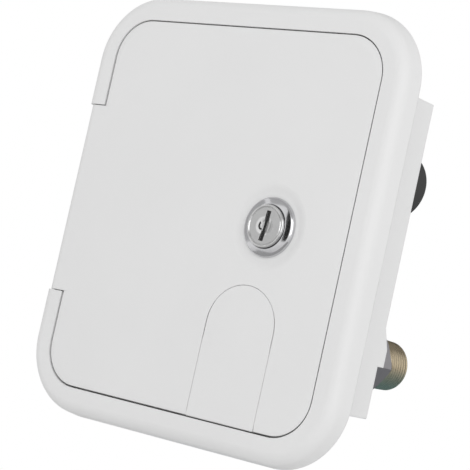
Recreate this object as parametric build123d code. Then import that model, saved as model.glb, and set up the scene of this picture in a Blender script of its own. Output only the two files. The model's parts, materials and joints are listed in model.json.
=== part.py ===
from build123d import *
import math
import os

# Lockable water inlet hatch for a caravan: a moulded flange and box let into the wall,
# a side-hinged door with a cam lock and a small hose flap, a city water inlet with its
# check valve, and a capped filling neck for the tank.
# All sizes in millimetres. X runs to the right as the hatch is seen, Y goes into the wall, Z is up.
# The origin is the centre of the four wall screws, on the wall plane behind the flange.

# Flange and door opening
opening_width = 139.5
opening_height = 160.0
opening_corner = 17.3
opening_bevel = 0.8
flange_margin = 11.6
flange_corner = 30.0
flange_depth = 9.8
flange_shoulder = 5.5
flange_draft_deg = 10.0
wall = 2.5
rib_thickness = 1.6
rib_pitch = 24.0

# Box behind the flange
box_side_ledge = 2.55
box_top_ledge = 16.4
box_bottom_ledge = 14.4
box_depth = 33.5
box_corner = 0.6

# Wall screws, countersunk in the ledges above and below the box
screw_spacing = 104.0
screw_edge = 7.5
screw_hole_radius = 2.3
screw_sink_radius = 4.4

# Fin beside the inlet, in the plane of the box's right side. Its heights are from the inlet's axis.
fin_reach = 4.3
fin_top_above = 14.1
fin_shoulder_above = 5.7
fin_bottom_below = 1.7

# Door
door_gap = 0.5
door_thickness = 2.8
door_bevel_width = 2.8
door_bevel_depth = 0.35
door_edge_draft_deg = 30.0
skirt_inset = 1.6
skirt_depth = 2.0
seal_rib_thickness = 1.6
seal_rib_corner = 3.0

# Hinge on the left
hinge_length = 82.4
hinge_end_gap = 0.4
hinge_radius = 4.0
hinge_inset = 4.65
hinge_web_reach = 8.0
hinge_notch_lap = 0.8
hinge_clearance = 0.35
hinge_pin_radius = 1.5
hinge_pin_seat = 9.0
hinge_block_extra = 2.5
running_clearance = 0.08
press_clearance = 0.02

# How far a cut runs past the face it opens, and how far a joined form sinks in
cut_past = 1.0
sink_in = 0.2

# Door seal
seal_width = 3.4
seal_thickness = 1.9
seal_gap = 0.1
seal_outer_corner = 4.0
seal_inner_corner = 1.5

# Lock. Its side distance is from the inside of the box's right wall.
lock_from_side = 32.9
lock_z = 0.0
lock_recess_depth = 1.0
lock_recess_floor = 13.4
lock_recess_rim = 18.2
bezel_radius = 12.2
bezel_thickness = 1.3
bezel_edge = 0.7
dish_rim_radius = 11.3
dish_lip_width = 0.5
dish_lip_depth = 0.25
dish_floor_radius = 9.6
dish_floor = 0.35
body_radius = 9.3
body_flats = 16.6
body_hole_clearance = 0.15
body_length = 9.8
plug_head_radius = 8.7
plug_head_stand = 2.9
plug_shaft_radius = 6.4
plug_face_gap = 0.1
plug_face_recess = 0.25
plug_rim_width = 0.9
plug_rim_slope = 0.4
plug_edge = 0.35
keyway_height = 12.3
keyway_width = 1.9
keyway_depth = 3.4
dimple_radius = 4.9
dimple_floor_radius = 3.0
dimple_depth = 0.6
backing_radius = 15.0
backing_depth = 1.4
lock_washer_radius = 13.0
lock_washer_thickness = 0.8
lock_nut_flats = 24.0
lock_nut_thickness = 3.0
cam_gap = 0.2
cam_thickness = 2.0
cam_reach = 31.0
cam_hub_radius = 8.0
cam_tip_width = 9.0
cam_tip_corner = 2.0
square_tail = 7.0
square_clearance = 0.06
square_short = 0.1
cam_screw_head_radius = 4.4
cam_screw_head_height = 2.6
cam_screw_radius = 2.0
cam_screw_length = 8.0
cam_screw_end_gap = 0.5
cam_screw_collar_width = 0.9
cam_screw_collar_height = 0.8

# Catch on the frame that the cam turns behind
catch_reach = 6.2
catch_low = -11.0
catch_high = 18.8
catch_cam_gap = 0.5
gusset_thickness = 1.6
gusset_depth = 7.5

# Hose flap in the door, a round-topped arch. Its side distance is from the box's right wall.
flap_from_side = 36.4
flap_width = 33.5
flap_apex = -24.4
flap_gap = 0.35
flap_draft_deg = 13.0
flap_axis_depth = 4.8
flap_lug_width = 3.0
flap_lug_radius = 2.2
flap_lug_inset = 2.4
flap_pin_radius = 1.0
arch_rib_offset = 1.5
arch_rib_thickness = 1.6
flap_boss_radius = 2.6
flap_boss_width = 4.0
flap_rib_depth = 1.2
flap_cut_run = 5.0

# City water inlet, placed from the insides of the box's right wall and bottom
inlet_from_side = 17.2
inlet_from_bottom = 20.6
inlet_tube_radius = 9.0
inlet_tube_bore = 5.5
inlet_flange_radius = 12.0
inlet_flange_thickness = 2.0
inlet_shoulder_radius = 14.0
inlet_shoulder_thickness = 2.0
inlet_washer_radius = 14.4
inlet_washer_thickness = 1.5
inlet_shank_radius = 10.2
inlet_shank_clearance = 0.3
inlet_shank_reach = 13.1
shank_chamfer = 0.8
locknut_radius = 13.6
locknut_thickness = 3.4
joint_clearance = 0.05
end_gap = 0.3
valve_flats = 22.2
valve_length = 18.6
valve_turn_deg = -6.5
valve_chamfer_width = 1.2
valve_chamfer_length = 0.8
valve_bore = 9.25
nipple_radius = 10.67
nipple_length = 15.7
nipple_spigot = 5.7
nipple_spigot_wall = 1.3
nipple_bore = 6.9
nipple_chamfer = 0.7
poppet_radius = 7.2
poppet_thickness = 2.0
poppet_stem_radius = 1.6
poppet_nose_share = 0.8
poppet_stem_past = 1.5
poppet_seal_outer = 7.0
poppet_seal_inner = 4.6
poppet_seal_thickness = 1.1
poppet_seat_gap = 0.1
retainer_thickness = 1.5
retainer_spread = 8.3
retainer_hole_radius = 1.7
retainer_port_radius = 1.7
retainer_port_out = 0.6
retainer_ports = 4
spring_radius = 3.9
spring_wire_radius = 0.35
spring_turns = 4.0
spring_end_gap = 0.05
swivel_radius = 15.6
swivel_length = 16.2
swivel_thread_radius = 12.6
swivel_thread_length = 7.4
swivel_chamber_radius = 12.9
swivel_back_wall = 3.2
swivel_gap = 0.5
swivel_lugs = 8
swivel_lug_radius = 1.8
swivel_lug_bite = 0.45
swivel_lug_start = 2.4
swivel_front_edge = 0.9
swivel_back_edge = 1.5
hose_washer_thickness = 2.0
hose_washer_bore = 8.0
screen_thickness = 0.6
screen_hole_radius = 1.7
screen_circle = 4.8
screen_holes = 6
screen_gap = 0.6

# Filling neck and cap, placed from the insides of the box's right wall and top
neck_from_side = 34.7
neck_from_top = 26.1
neck_flange_radius = 25.3
neck_flange_thickness = 3.0
neck_gasket_thickness = 1.5
neck_mouth_radius = 19.0
neck_bore = 12.6
neck_root_radius = 14.6
neck_ridge_radius = 15.6
neck_ridge_count = 3
neck_ridge_pitch = 7.0
neck_ridge_length = 4.5
neck_ridge_rise = 0.4
neck_ridge_crest = 1.2
neck_lead_radius = 15.1
neck_lead_length = 9.0
neck_reach = 41.9
neck_hole_clearance = 0.4
neck_screw_circle = 22.3
neck_screw_count = 4
neck_screw_radius = 1.5
neck_screw_head = 2.7
neck_screw_length = 9.5
neck_screw_play = 0.1
neck_screw_tip = 1.2
neck_screw_slot_length = 6.0
neck_screw_slot_width = 0.6
neck_screw_slot_depth = 0.6
bayonet_start = 1.0
bayonet_lug_height = 1.2
bayonet_root = 0.5
bayonet_lug_length = 2.4
bayonet_lug_angle = 34.0
cap_radius = 24.2
cap_bore = 20.6
cap_top = 2.5
cap_skirt_gap = 0.7
cap_gasket_thickness = 1.5
cap_gasket_gap = 0.1
cap_grip_width = 8.0
cap_grip_height = 3.0
cap_grip_inset = 3.0
cap_cam_clearance = 3.8
cap_flutes = 20
cap_flute_radius = 1.6
cap_flute_bite = 0.5
cap_gasket_side_gap = 0.3
cap_gasket_bore_gap = 0.5
cap_lip_radius = 19.4
cap_lip_thickness = 2.0
cap_lip_gap = 0.3

# Places worked out from the sizes above
front = -flange_depth
floor_front = -wall
flange_width = opening_width + 2 * flange_margin
flange_height = opening_height + 2 * flange_margin
box_width = opening_width - 2 * box_side_ledge
box_height = opening_height - box_top_ledge - box_bottom_ledge
box_z = (box_bottom_ledge - box_top_ledge) / 2
box_back_inner = box_depth - wall
box_right_inner = box_width / 2 - wall
box_top_inner = box_z + box_height / 2 - wall
box_bottom_inner = box_z - box_height / 2 + wall
screw_x = screw_spacing / 2
screw_z = opening_height / 2 - screw_edge
hinge_x = -opening_width / 2 - hinge_inset
hinge_y = front + hinge_radius
door_back = front + door_thickness
door_width = opening_width - 2 * door_gap
door_height = opening_height - 2 * door_gap
lock_x = box_right_inner - lock_from_side
flap_x = box_right_inner - flap_from_side
flap_radius = flap_width / 2
flap_axis_z = flap_apex - flap_radius
flap_axis_y = front + flap_axis_depth
seal_front = floor_front - seal_thickness
seal_line_width = box_width - wall + seal_width / 2
seal_line_height = box_height - wall + seal_width / 2
bezel_back = front + lock_recess_depth
bezel_front = bezel_back - bezel_thickness
body_end = bezel_back + body_length
cam_front = body_end + cam_gap
cam_back = cam_front + cam_thickness
inlet_x = box_right_inner - inlet_from_side
inlet_z = box_bottom_inner + inlet_from_bottom
shoulder_back = box_back_inner - inlet_washer_thickness
shoulder_front = shoulder_back - inlet_shoulder_thickness
swivel_back = shoulder_front - swivel_gap
swivel_front = swivel_back - swivel_length
inlet_flange_back = swivel_back - swivel_back_wall - end_gap
inlet_flange_front = inlet_flange_back - inlet_flange_thickness
shank_end = box_depth + inlet_shank_reach
valve_front = box_depth + locknut_thickness + end_gap
valve_back = valve_front + valve_length
nipple_front = valve_back - nipple_spigot
nipple_back = valve_back + nipple_length
poppet_front = shank_end + poppet_seat_gap + poppet_seal_thickness
poppet_back = poppet_front + poppet_thickness
retainer_front = poppet_back + retainer_spread
retainer_back = retainer_front + retainer_thickness
neck_x = box_right_inner - neck_from_side
neck_z = box_top_inner - neck_from_top
neck_flange_back = box_back_inner - neck_gasket_thickness
neck_flange_front = neck_flange_back - neck_flange_thickness
neck_end = box_depth + neck_reach
cap_front = cam_back + cap_cam_clearance + cap_grip_height
cap_inner = cap_front + cap_top
neck_mouth = cap_inner + cap_gasket_thickness + cap_gasket_gap
cap_skirt_end = neck_flange_front - cap_skirt_gap


def across(y):
    """The plane square to Y at depth y, facing the viewer, with X to the right and Z up."""
    return Plane.XZ.offset(-y)


def slab(outline, y_front, y_back, x=0.0, z=0.0):
    """A flat outline given a thickness between two depths."""
    return extrude(across(y_back) * Pos(x, z) * outline, amount=y_back - y_front)


def disc(radius, y_front, y_back, x, z):
    return slab(Circle(radius), y_front, y_back, x, z)


def ring(outer, inner, y_front, y_back, x, z):
    return slab(Circle(outer) - Circle(inner), y_front, y_back, x, z)


def turned(points, x, z):
    """A turned piece: points are (radius, depth) pairs round the axis at x, z along Y."""
    profile = make_face(Polyline(*[(r, y) for r, y in points], close=True))
    solid = revolve(Plane.XY * profile, Axis.Y)
    return Pos(x, 0, z) * solid


def upright(radius, z_low, z_high, x, y):
    """A round bar along Z."""
    return Pos(x, y, (z_low + z_high) / 2) * Cylinder(radius, z_high - z_low)


def block(x_low, x_high, y_low, y_high, z_low, z_high):
    centre = ((x_low + x_high) / 2, (y_low + y_high) / 2, (z_low + z_high) / 2)
    return Pos(*centre) * Box(x_high - x_low, y_high - y_low, z_high - z_low)


def flange_form(inset, depth, shoulder):
    """The drafted, round-shouldered form of the flange, taken in by an inset on every side."""
    outline = RectangleRounded(
        flange_width - 2 * inset, flange_height - 2 * inset, flange_corner - inset
    )
    form = extrude(across(0) * outline, amount=depth, taper=flange_draft_deg)
    return fillet(form.faces().sort_by(Axis.Y)[0].edges(), shoulder)


def opening_form(offset, y_front, y_back):
    """The door opening's outline, grown by an offset, as a solid between two depths."""
    outline = RectangleRounded(
        opening_width + 2 * offset, opening_height + 2 * offset, opening_corner + offset
    )
    return slab(outline, y_front, y_back)


def opening_bevel_form():
    """The small bevel round the opening's front edge."""
    outline = RectangleRounded(opening_width, opening_height, opening_corner)
    return extrude(across(front + opening_bevel) * outline, amount=opening_bevel, taper=-45)


def box_form(inset, y_front, y_back, corner):
    outline = RectangleRounded(box_width - 2 * inset, box_height - 2 * inset, corner)
    return slab(outline, y_front, y_back, 0, box_z)


def flange_ribs(pocket):
    """Thin ribs across the hollow behind the flange, at an even pitch along each side."""
    across_count = int(opening_width / 2 / rib_pitch)
    up_count = int(opening_height / 2 / rib_pitch)
    half = rib_thickness / 2
    for i in range(-across_count + 1, across_count):
        x = i * rib_pitch
        yield pocket & block(x - half, x + half, front, 0, -flange_height, flange_height)
    for i in range(-up_count + 1, up_count):
        z = i * rib_pitch
        yield pocket & block(-flange_width, flange_width, front, 0, z - half, z + half)


def make_flange():
    """The hollow rim round the door opening, with the blocks that hold the hinge's pin."""
    pocket = flange_form(wall, flange_depth - wall, flange_shoulder - wall)
    pocket -= opening_form(wall, front, 0)
    body = flange_form(0, flange_depth, flange_shoulder) - pocket
    for rib in flange_ribs(pocket):
        body += rib
    hinge_half = hinge_length / 2
    block_half = hinge_half + hinge_pin_seat + hinge_block_extra
    hinge_fill = block(-flange_width / 2, -opening_width / 2, front, 0, -block_half, block_half)
    body += pocket & hinge_fill
    body -= opening_form(0, front, 0)
    body -= opening_bevel_form()
    body -= hinge_notch()
    for end in (-1, 1):
        low, high = sorted((end * hinge_half, end * (hinge_half + hinge_pin_seat)))
        body -= upright(hinge_pin_radius + press_clearance, low, high, hinge_x, hinge_y)
    return body


def make_box():
    """The box behind the door, with the ledge round its mouth that the door shuts over."""
    body = opening_form(0, floor_front, 0) + box_form(0, floor_front, box_depth, box_corner)
    body -= box_form(wall, floor_front, box_back_inner, box_corner)
    body += catch()
    body += fin()
    for x in (-screw_x, screw_x):
        for z in (-screw_z, screw_z):
            body -= screw_hole(x, z)
    body -= disc(inlet_shank_radius + inlet_shank_clearance, 0, box_depth, inlet_x, inlet_z)
    body -= disc(neck_root_radius + neck_hole_clearance, 0, box_depth, neck_x, neck_z)
    for x, z in neck_screw_places():
        body -= disc(neck_screw_radius + press_clearance, 0, box_depth, x, z)
    return body


def hinge_notch():
    """The cut in the flange's left side that the door's hinge barrel turns in."""
    half = hinge_length / 2
    trough = upright(hinge_radius + hinge_clearance, -half, half, hinge_x, hinge_y)
    outside = block(-flange_width, hinge_x, front - cut_past, hinge_y + hinge_notch_lap, -half, half)
    web_back = door_back + hinge_clearance
    inside = block(hinge_x, -opening_width / 2 + cut_past, front - cut_past, web_back, -half, half)
    return trough + outside + inside


def catch():
    """The lip on the box's right wall that the cam turns behind, with a gusset at each end."""
    wall_face = box_width / 2 - wall / 2
    back = cam_front - catch_cam_gap
    inner = box_right_inner - catch_reach
    lip = block(inner, wall_face, floor_front, back, catch_low, catch_high)
    for place in (catch_low + gusset_thickness / 2, catch_high - gusset_thickness / 2):
        corners = [(inner, back), (wall_face, back), (wall_face, back + gusset_depth)]
        profile = make_face(Polyline(*corners, close=True))
        gusset = extrude(Plane.XY * profile, amount=gusset_thickness / 2, both=True)
        lip += Pos(0, 0, place) * gusset
    return lip


def fin():
    """The small raised fin on the box's right side, beside the inlet."""
    top = inlet_z + fin_top_above
    bottom = inlet_z - fin_bottom_below
    outline = Polyline(
        (box_depth - wall, top),
        (box_depth, top),
        (box_depth + fin_reach, inlet_z + fin_shoulder_above),
        (box_depth + fin_reach, bottom),
        (box_depth - wall, bottom),
        close=True,
    )
    return Pos(box_width / 2, 0, 0) * extrude(Plane.YZ * make_face(outline), amount=-wall)


def screw_hole(x, z):
    hole = disc(screw_hole_radius, floor_front - cut_past, cut_past, x, z)
    sink_depth = screw_sink_radius - screw_hole_radius
    sink = turned(
        [
            (0, floor_front - cut_past),
            (screw_sink_radius, floor_front - cut_past),
            (screw_sink_radius, floor_front),
            (screw_hole_radius, floor_front + sink_depth),
            (0, floor_front + sink_depth),
        ],
        x,
        z,
    )
    return hole + sink


def neck_screw_places():
    """The neck's screws stand evenly on a circle, turned off the axes by half a step."""
    step = 2 * math.pi / neck_screw_count
    for i in range(neck_screw_count):
        angle = (i + 0.5) * step
        yield (
            neck_x + neck_screw_circle * math.cos(angle),
            neck_z + neck_screw_circle * math.sin(angle),
        )


def make_hinge_pin():
    half = hinge_length / 2 + hinge_pin_seat
    return upright(hinge_pin_radius, -half, half, hinge_x, hinge_y)


def make_door_seal():
    outer = RectangleRounded(
        seal_line_width + seal_width, seal_line_height + seal_width, seal_outer_corner
    )
    inner = RectangleRounded(
        seal_line_width - seal_width, seal_line_height - seal_width, seal_inner_corner
    )
    return slab(outer - inner, seal_front, floor_front, 0, box_z)


def arch(grow, y_front, y_back, foot):
    """The flap's round-topped outline, grown on its sides and top, down to a foot."""
    radius = flap_radius + grow
    outline = Pos(flap_x, flap_axis_z) * Circle(radius)
    outline += Pos(flap_x, (flap_axis_z + foot) / 2) * Rectangle(2 * radius, flap_axis_z - foot)
    return slab(outline, y_front, y_back)


def arch_cut():
    """The door's cut-out for the flap, wider towards the back so that the flap's top clears it."""
    foot = -opening_height / 2 - flap_cut_run
    outline = Pos(flap_x, flap_axis_z) * Circle(flap_radius + flap_gap)
    outline += Pos(flap_x, (flap_axis_z + foot) / 2) * Rectangle(
        2 * (flap_radius + flap_gap), flap_axis_z - foot
    )
    cut = extrude(across(front) * outline, amount=-door_thickness, taper=-flap_draft_deg)
    spread = door_thickness * math.tan(math.radians(flap_draft_deg))
    return cut + arch(flap_gap + spread, door_back, flap_axis_y + flap_cut_run, foot)


def lock_recess():
    """The shallow round dish in the door's face that the lock sits in."""
    slope = lock_recess_rim - lock_recess_floor
    profile = make_face(
        Line((0, front - cut_past), (lock_recess_rim, front - cut_past))
        + Line((lock_recess_rim, front - cut_past), (lock_recess_rim, front))
        + Bezier(
            (lock_recess_rim, front),
            (lock_recess_rim - slope * 0.45, front),
            (lock_recess_floor + slope * 0.35, bezel_back),
            (lock_recess_floor, bezel_back),
        )
        + Line((lock_recess_floor, bezel_back), (0, bezel_back))
        + Line((0, bezel_back), (0, front - cut_past))
    )
    return Pos(lock_x, 0, lock_z) * revolve(Plane.XY * profile, Axis.Y)


def double_flat(radius, flats):
    return Circle(radius) & Rectangle(flats, 2 * radius)


def lock_hole():
    """The hole with two flats that the lock's body stands in."""
    return double_flat(body_radius + body_hole_clearance, body_flats + 2 * body_hole_clearance)


def door_skin():
    """The door's plate: a shallow bevel round its front, and edges drawn in towards the back."""
    outline = RectangleRounded(door_width, door_height, opening_corner - door_gap)
    edge = across(front + door_bevel_depth) * outline
    bevel_deg = math.degrees(math.atan(door_bevel_width / door_bevel_depth))
    skin = extrude(edge, amount=door_bevel_depth - door_thickness, taper=door_edge_draft_deg)
    return skin + extrude(edge, amount=door_bevel_depth, taper=bevel_deg)


def door_ribs():
    """The skirt near the door's edge, the rib that presses on the seal, and the rib round the flap."""
    skirt = RectangleRounded(
        door_width - 2 * skirt_inset, door_height - 2 * skirt_inset, opening_corner - door_gap - skirt_inset
    )
    ribs = slab(skirt - offset(skirt, -rib_thickness), door_back, door_back + skirt_depth)
    seal_rib = RectangleRounded(
        seal_line_width + seal_rib_thickness, seal_line_height + seal_rib_thickness, seal_rib_corner
    )
    rib_back = seal_front - seal_gap
    ribs += slab(seal_rib - offset(seal_rib, -seal_rib_thickness), door_back, rib_back, 0, box_z)
    arch_grow = flap_gap + arch_rib_offset + arch_rib_thickness
    return ribs + arch(arch_grow, door_back, rib_back, -door_height / 2 + skirt_inset)


def make_door_panel():
    panel = door_skin() + door_ribs()
    for side in (-1, 1):
        panel += flap_boss(side)
    panel -= arch_cut()
    clear_foot = -opening_height / 2 - flap_cut_run
    panel -= arch(flap_gap + arch_rib_offset, door_back, flap_axis_y + flap_cut_run, clear_foot)
    backing_back = door_back + backing_depth
    panel += disc(backing_radius, door_back - sink_in, backing_back, lock_x, lock_z)
    panel -= lock_recess()
    panel -= slab(lock_hole(), front - cut_past, backing_back + cut_past, lock_x, lock_z)
    half = hinge_length / 2
    barrel_half = half - hinge_end_gap
    web_end = -door_width / 2 + hinge_web_reach
    panel += upright(hinge_radius, -barrel_half, barrel_half, hinge_x, hinge_y)
    panel += block(hinge_x, web_end, front, door_back, -barrel_half, barrel_half)
    panel -= upright(hinge_pin_radius + running_clearance, -half, half, hinge_x, hinge_y)
    return panel - flap_pin_bar(flap_pin_radius + press_clearance, *flap_pin_ends())


def flap_pin_ends():
    reach = flap_radius + flap_gap + arch_rib_offset + flap_boss_width
    return flap_x - reach, flap_x + reach


def flap_pin_bar(radius, x_low, x_high):
    middle = (x_low + x_high) / 2
    return Pos(middle, flap_axis_y, flap_axis_z) * Rot(0, 90, 0) * Cylinder(radius, x_high - x_low)


def flap_boss(side):
    """A round boss on the door's back, outside the arch, that holds one end of the flap's pin."""
    near = flap_x + side * (flap_radius + flap_gap + arch_rib_offset)
    far = near + side * flap_boss_width
    low, high = sorted((near, far))
    bar = flap_pin_bar(flap_boss_radius, low, high)
    foot_low, foot_high = flap_axis_z - flap_boss_radius, flap_axis_z + flap_boss_radius
    return bar + block(low, high, door_back, flap_axis_y, foot_low, foot_high)


def make_flap_pin():
    return flap_pin_bar(flap_pin_radius, *flap_pin_ends())


def make_hose_flap():
    foot = -door_height / 2
    flap = arch(0, front, door_back, foot)
    bottom_edge = flap.faces().sort_by(Axis.Z)[0].edges().sort_by(Axis.Y)[0]
    flap = chamfer(bottom_edge, door_bevel_depth, door_bevel_depth)
    for side in (-1, 1):
        outer = flap_x + side * (flap_radius - flap_lug_inset)
        inner = outer - side * flap_lug_width
        low, high = sorted((outer, inner))
        flap += flap_pin_bar(flap_lug_radius, low, high)
        lug_low, lug_high = flap_axis_z - flap_lug_radius, flap_axis_z + flap_lug_radius
        flap += block(low, high, door_back, flap_axis_y, lug_low, lug_high)
        x = (low + high) / 2
        flap += block(
            x - rib_thickness / 2,
            x + rib_thickness / 2,
            door_back,
            door_back + flap_rib_depth,
            foot + skirt_inset,
            flap_axis_z,
        )
    return flap - flap_pin_bar(flap_pin_radius + running_clearance, *flap_pin_ends())


def make_lock_housing():
    """The lock's bezel with its shallow dish, and its body with two flats."""
    dish_floor_y = bezel_back - dish_floor
    bore = plug_shaft_radius + running_clearance
    bezel = turned(
        [
            (bore, dish_floor_y),
            (dish_floor_radius, dish_floor_y),
            (dish_rim_radius - dish_lip_width, bezel_front + dish_lip_depth),
            (dish_rim_radius, bezel_front),
            (bezel_radius - bezel_edge, bezel_front),
            (bezel_radius - bezel_edge / 5, bezel_front + bezel_edge / 2),
            (bezel_radius, bezel_front + bezel_edge),
            (bezel_radius, bezel_back),
            (bore, bezel_back),
        ],
        lock_x,
        lock_z,
    )
    body = slab(double_flat(body_radius, body_flats), bezel_back, body_end, lock_x, lock_z)
    return bezel + body - disc(bore, bezel_back - cut_past, body_end, lock_x, lock_z)


def make_lock_washer():
    back = door_back + backing_depth + lock_washer_thickness
    outline = Circle(lock_washer_radius) - lock_hole()
    return slab(outline, door_back + backing_depth, back, lock_x, lock_z)


def make_lock_nut():
    nut_front = door_back + backing_depth + lock_washer_thickness
    outline = RegularPolygon(lock_nut_flats / 2, 6, major_radius=False)
    outline -= Circle(body_radius + joint_clearance)
    return slab(outline, nut_front, nut_front + lock_nut_thickness, lock_x, lock_z)


def make_lock_plug():
    """The plug: a head with a thin raised rim and a dimple round the keyway, and a square tail."""
    head_front = front - plug_head_stand
    head_back = bezel_back - dish_floor - plug_face_gap
    face = head_front + plug_face_recess
    rim_foot = plug_head_radius - plug_rim_width
    plug = turned(
        [
            (0, face),
            (rim_foot - plug_rim_slope, face),
            (rim_foot, head_front),
            (plug_head_radius - plug_edge, head_front),
            (plug_head_radius, head_front + plug_edge),
            (plug_head_radius, head_back),
            (0, head_back),
        ],
        lock_x,
        lock_z,
    )
    plug += disc(plug_shaft_radius, head_back, cam_front, lock_x, lock_z)
    plug += slab(Rectangle(square_tail, square_tail), cam_front, cam_back - square_short, lock_x, lock_z)
    plug -= turned(
        [
            (0, head_front - cut_past),
            (dimple_radius, head_front - cut_past),
            (dimple_radius, face),
            (dimple_floor_radius, face + dimple_depth),
            (0, face + dimple_depth),
        ],
        lock_x,
        lock_z,
    )
    keyway = Rectangle(keyway_width, keyway_height)
    plug -= slab(keyway, head_front - cut_past, head_front + keyway_depth, lock_x, lock_z)
    screw_bore = cam_screw_radius + press_clearance
    return plug - disc(screw_bore, cam_back - cam_screw_length, cam_back, lock_x, lock_z)


def make_lock_cam():
    hub = Circle(cam_hub_radius)
    tip = Pos(0, cam_reach - cam_tip_width / 2) * Rectangle(cam_tip_width, cam_tip_width)
    arm = make_hull((hub.edges() + tip.edges()))
    cam = slab(arm, cam_front, cam_back, lock_x, lock_z)
    tip_edges = cam.edges().filter_by(Axis.Y).sort_by(Axis.Z)[-2:]
    cam = fillet(tip_edges, cam_tip_corner)
    hole = square_tail + 2 * square_clearance
    hole_start = cam_front - cut_past
    return cam - slab(Rectangle(hole, hole), hole_start, cam_back + cut_past, lock_x, lock_z)


def make_cam_screw():
    head_back = cam_back + cam_screw_head_height
    head = slab(RegularPolygon(cam_screw_head_radius, 6), cam_back, head_back, lock_x, lock_z)
    collar_radius = cam_screw_head_radius + cam_screw_collar_width
    collar = disc(collar_radius, cam_back, cam_back + cam_screw_collar_height, lock_x, lock_z)
    shank_end = cam_back - cam_screw_length + cam_screw_end_gap
    return head + collar + disc(cam_screw_radius, shank_end, cam_back, lock_x, lock_z)


def make_inlet_tube():
    return turned(
        [
            (inlet_tube_bore, inlet_flange_front),
            (inlet_flange_radius, inlet_flange_front),
            (inlet_flange_radius, inlet_flange_back),
            (inlet_tube_radius, inlet_flange_back),
            (inlet_tube_radius, shoulder_front),
            (inlet_shoulder_radius, shoulder_front),
            (inlet_shoulder_radius, shoulder_back),
            (inlet_shank_radius, shoulder_back),
            (inlet_shank_radius, shank_end - shank_chamfer),
            (inlet_shank_radius - shank_chamfer, shank_end),
            (inlet_tube_bore, shank_end),
        ],
        inlet_x,
        inlet_z,
    )


def make_inlet_washer():
    bore = inlet_shank_radius + joint_clearance
    return ring(inlet_washer_radius, bore, shoulder_back, box_back_inner, inlet_x, inlet_z)


def make_inlet_locknut():
    outline = RegularPolygon(locknut_radius, 8, major_radius=True)
    outline -= Circle(inlet_shank_radius + joint_clearance)
    return slab(outline, box_depth, box_depth + locknut_thickness, inlet_x, inlet_z)


def make_valve_body():
    """The gray hexagon behind the box, one corner to the right, screwed on the inlet tube."""
    outline = Rot(0, 0, valve_turn_deg) * RegularPolygon(valve_flats / 2, 6, major_radius=False)
    hexagon = slab(outline, valve_front, valve_back, inlet_x, inlet_z)
    corner = valve_flats / math.sqrt(3)
    trim = turned(
        [
            (0, valve_front),
            (corner - valve_chamfer_width, valve_front),
            (corner, valve_front + valve_chamfer_length),
            (corner, valve_back - valve_chamfer_length),
            (corner - valve_chamfer_width, valve_back),
            (0, valve_back),
        ],
        inlet_x,
        inlet_z,
    )
    socket_radius = inlet_shank_radius + joint_clearance
    socket = disc(socket_radius, valve_front - cut_past, shank_end + end_gap, inlet_x, inlet_z)
    bore = disc(valve_bore, valve_front, valve_back + cut_past, inlet_x, inlet_z)
    return (hexagon & trim) - socket - bore


def make_outlet_nipple():
    spigot = valve_bore - joint_clearance
    chamber = spigot - nipple_spigot_wall
    return turned(
        [
            (chamber, nipple_front),
            (spigot, nipple_front),
            (spigot, valve_back),
            (nipple_radius, valve_back),
            (nipple_radius, nipple_back - nipple_chamfer),
            (nipple_radius - nipple_chamfer, nipple_back),
            (nipple_bore, nipple_back),
            (nipple_bore, retainer_back),
            (chamber, retainer_back),
        ],
        inlet_x,
        inlet_z,
    )


def make_valve_poppet():
    head = disc(poppet_radius, poppet_front, poppet_back, inlet_x, inlet_z)
    nose_front = poppet_front - poppet_seal_thickness * poppet_nose_share
    nose_radius = poppet_seal_inner - joint_clearance
    nose = disc(nose_radius, nose_front, poppet_front, inlet_x, inlet_z)
    stem_end = retainer_back + poppet_stem_past
    return head + nose + disc(poppet_stem_radius, poppet_back, stem_end, inlet_x, inlet_z)


def make_poppet_seal():
    seal_face = poppet_front - poppet_seal_thickness
    return ring(poppet_seal_outer, poppet_seal_inner, seal_face, poppet_front, inlet_x, inlet_z)


def make_spring_retainer():
    outer = valve_bore - joint_clearance - nipple_spigot_wall - joint_clearance
    outline = Circle(outer) - Circle(retainer_hole_radius)
    middle = (outer + retainer_hole_radius) / 2 + retainer_port_out
    outline -= PolarLocations(middle, retainer_ports) * Circle(retainer_port_radius)
    return slab(outline, retainer_front, retainer_back, inlet_x, inlet_z)


def make_valve_spring():
    length = retainer_spread - 2 * spring_wire_radius - 2 * spring_end_gap
    path = Helix(length / spring_turns, length, spring_radius)
    wire = sweep(Plane(path @ 0, z_dir=path % 0) * Circle(spring_wire_radius), path)
    start = poppet_back + spring_wire_radius + spring_end_gap
    return Pos(inlet_x, start, inlet_z) * Rot(-90, 0, 0) * wire


def make_hose_swivel():
    bore = inlet_tube_radius + end_gap
    shell = turned(
        [
            (bore, swivel_back - swivel_back_wall),
            (swivel_chamber_radius, swivel_back - swivel_back_wall),
            (swivel_chamber_radius, swivel_front + swivel_thread_length),
            (swivel_thread_radius, swivel_front + swivel_thread_length),
            (swivel_thread_radius, swivel_front),
            (swivel_radius - swivel_front_edge, swivel_front),
            (swivel_radius, swivel_front + swivel_front_edge),
            (swivel_radius, swivel_back - swivel_back_edge),
            (swivel_radius - swivel_back_edge, swivel_back),
            (bore, swivel_back),
        ],
        inlet_x,
        inlet_z,
    )
    groove_front = swivel_front + swivel_lug_start
    groove = disc(swivel_lug_radius, groove_front, swivel_back + cut_past, inlet_x, inlet_z)
    step = 360 / swivel_lugs
    for i in range(swivel_lugs):
        angle = math.radians((i + 0.5) * step)
        reach = swivel_radius + swivel_lug_radius * swivel_lug_bite
        shell -= Pos(reach * math.cos(angle), 0, reach * math.sin(angle)) * groove
    return shell


def make_hose_washer():
    back = inlet_flange_front - screen_thickness
    outer = swivel_thread_radius - end_gap
    return ring(outer, hose_washer_bore, back - hose_washer_thickness, back, inlet_x, inlet_z)


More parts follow.
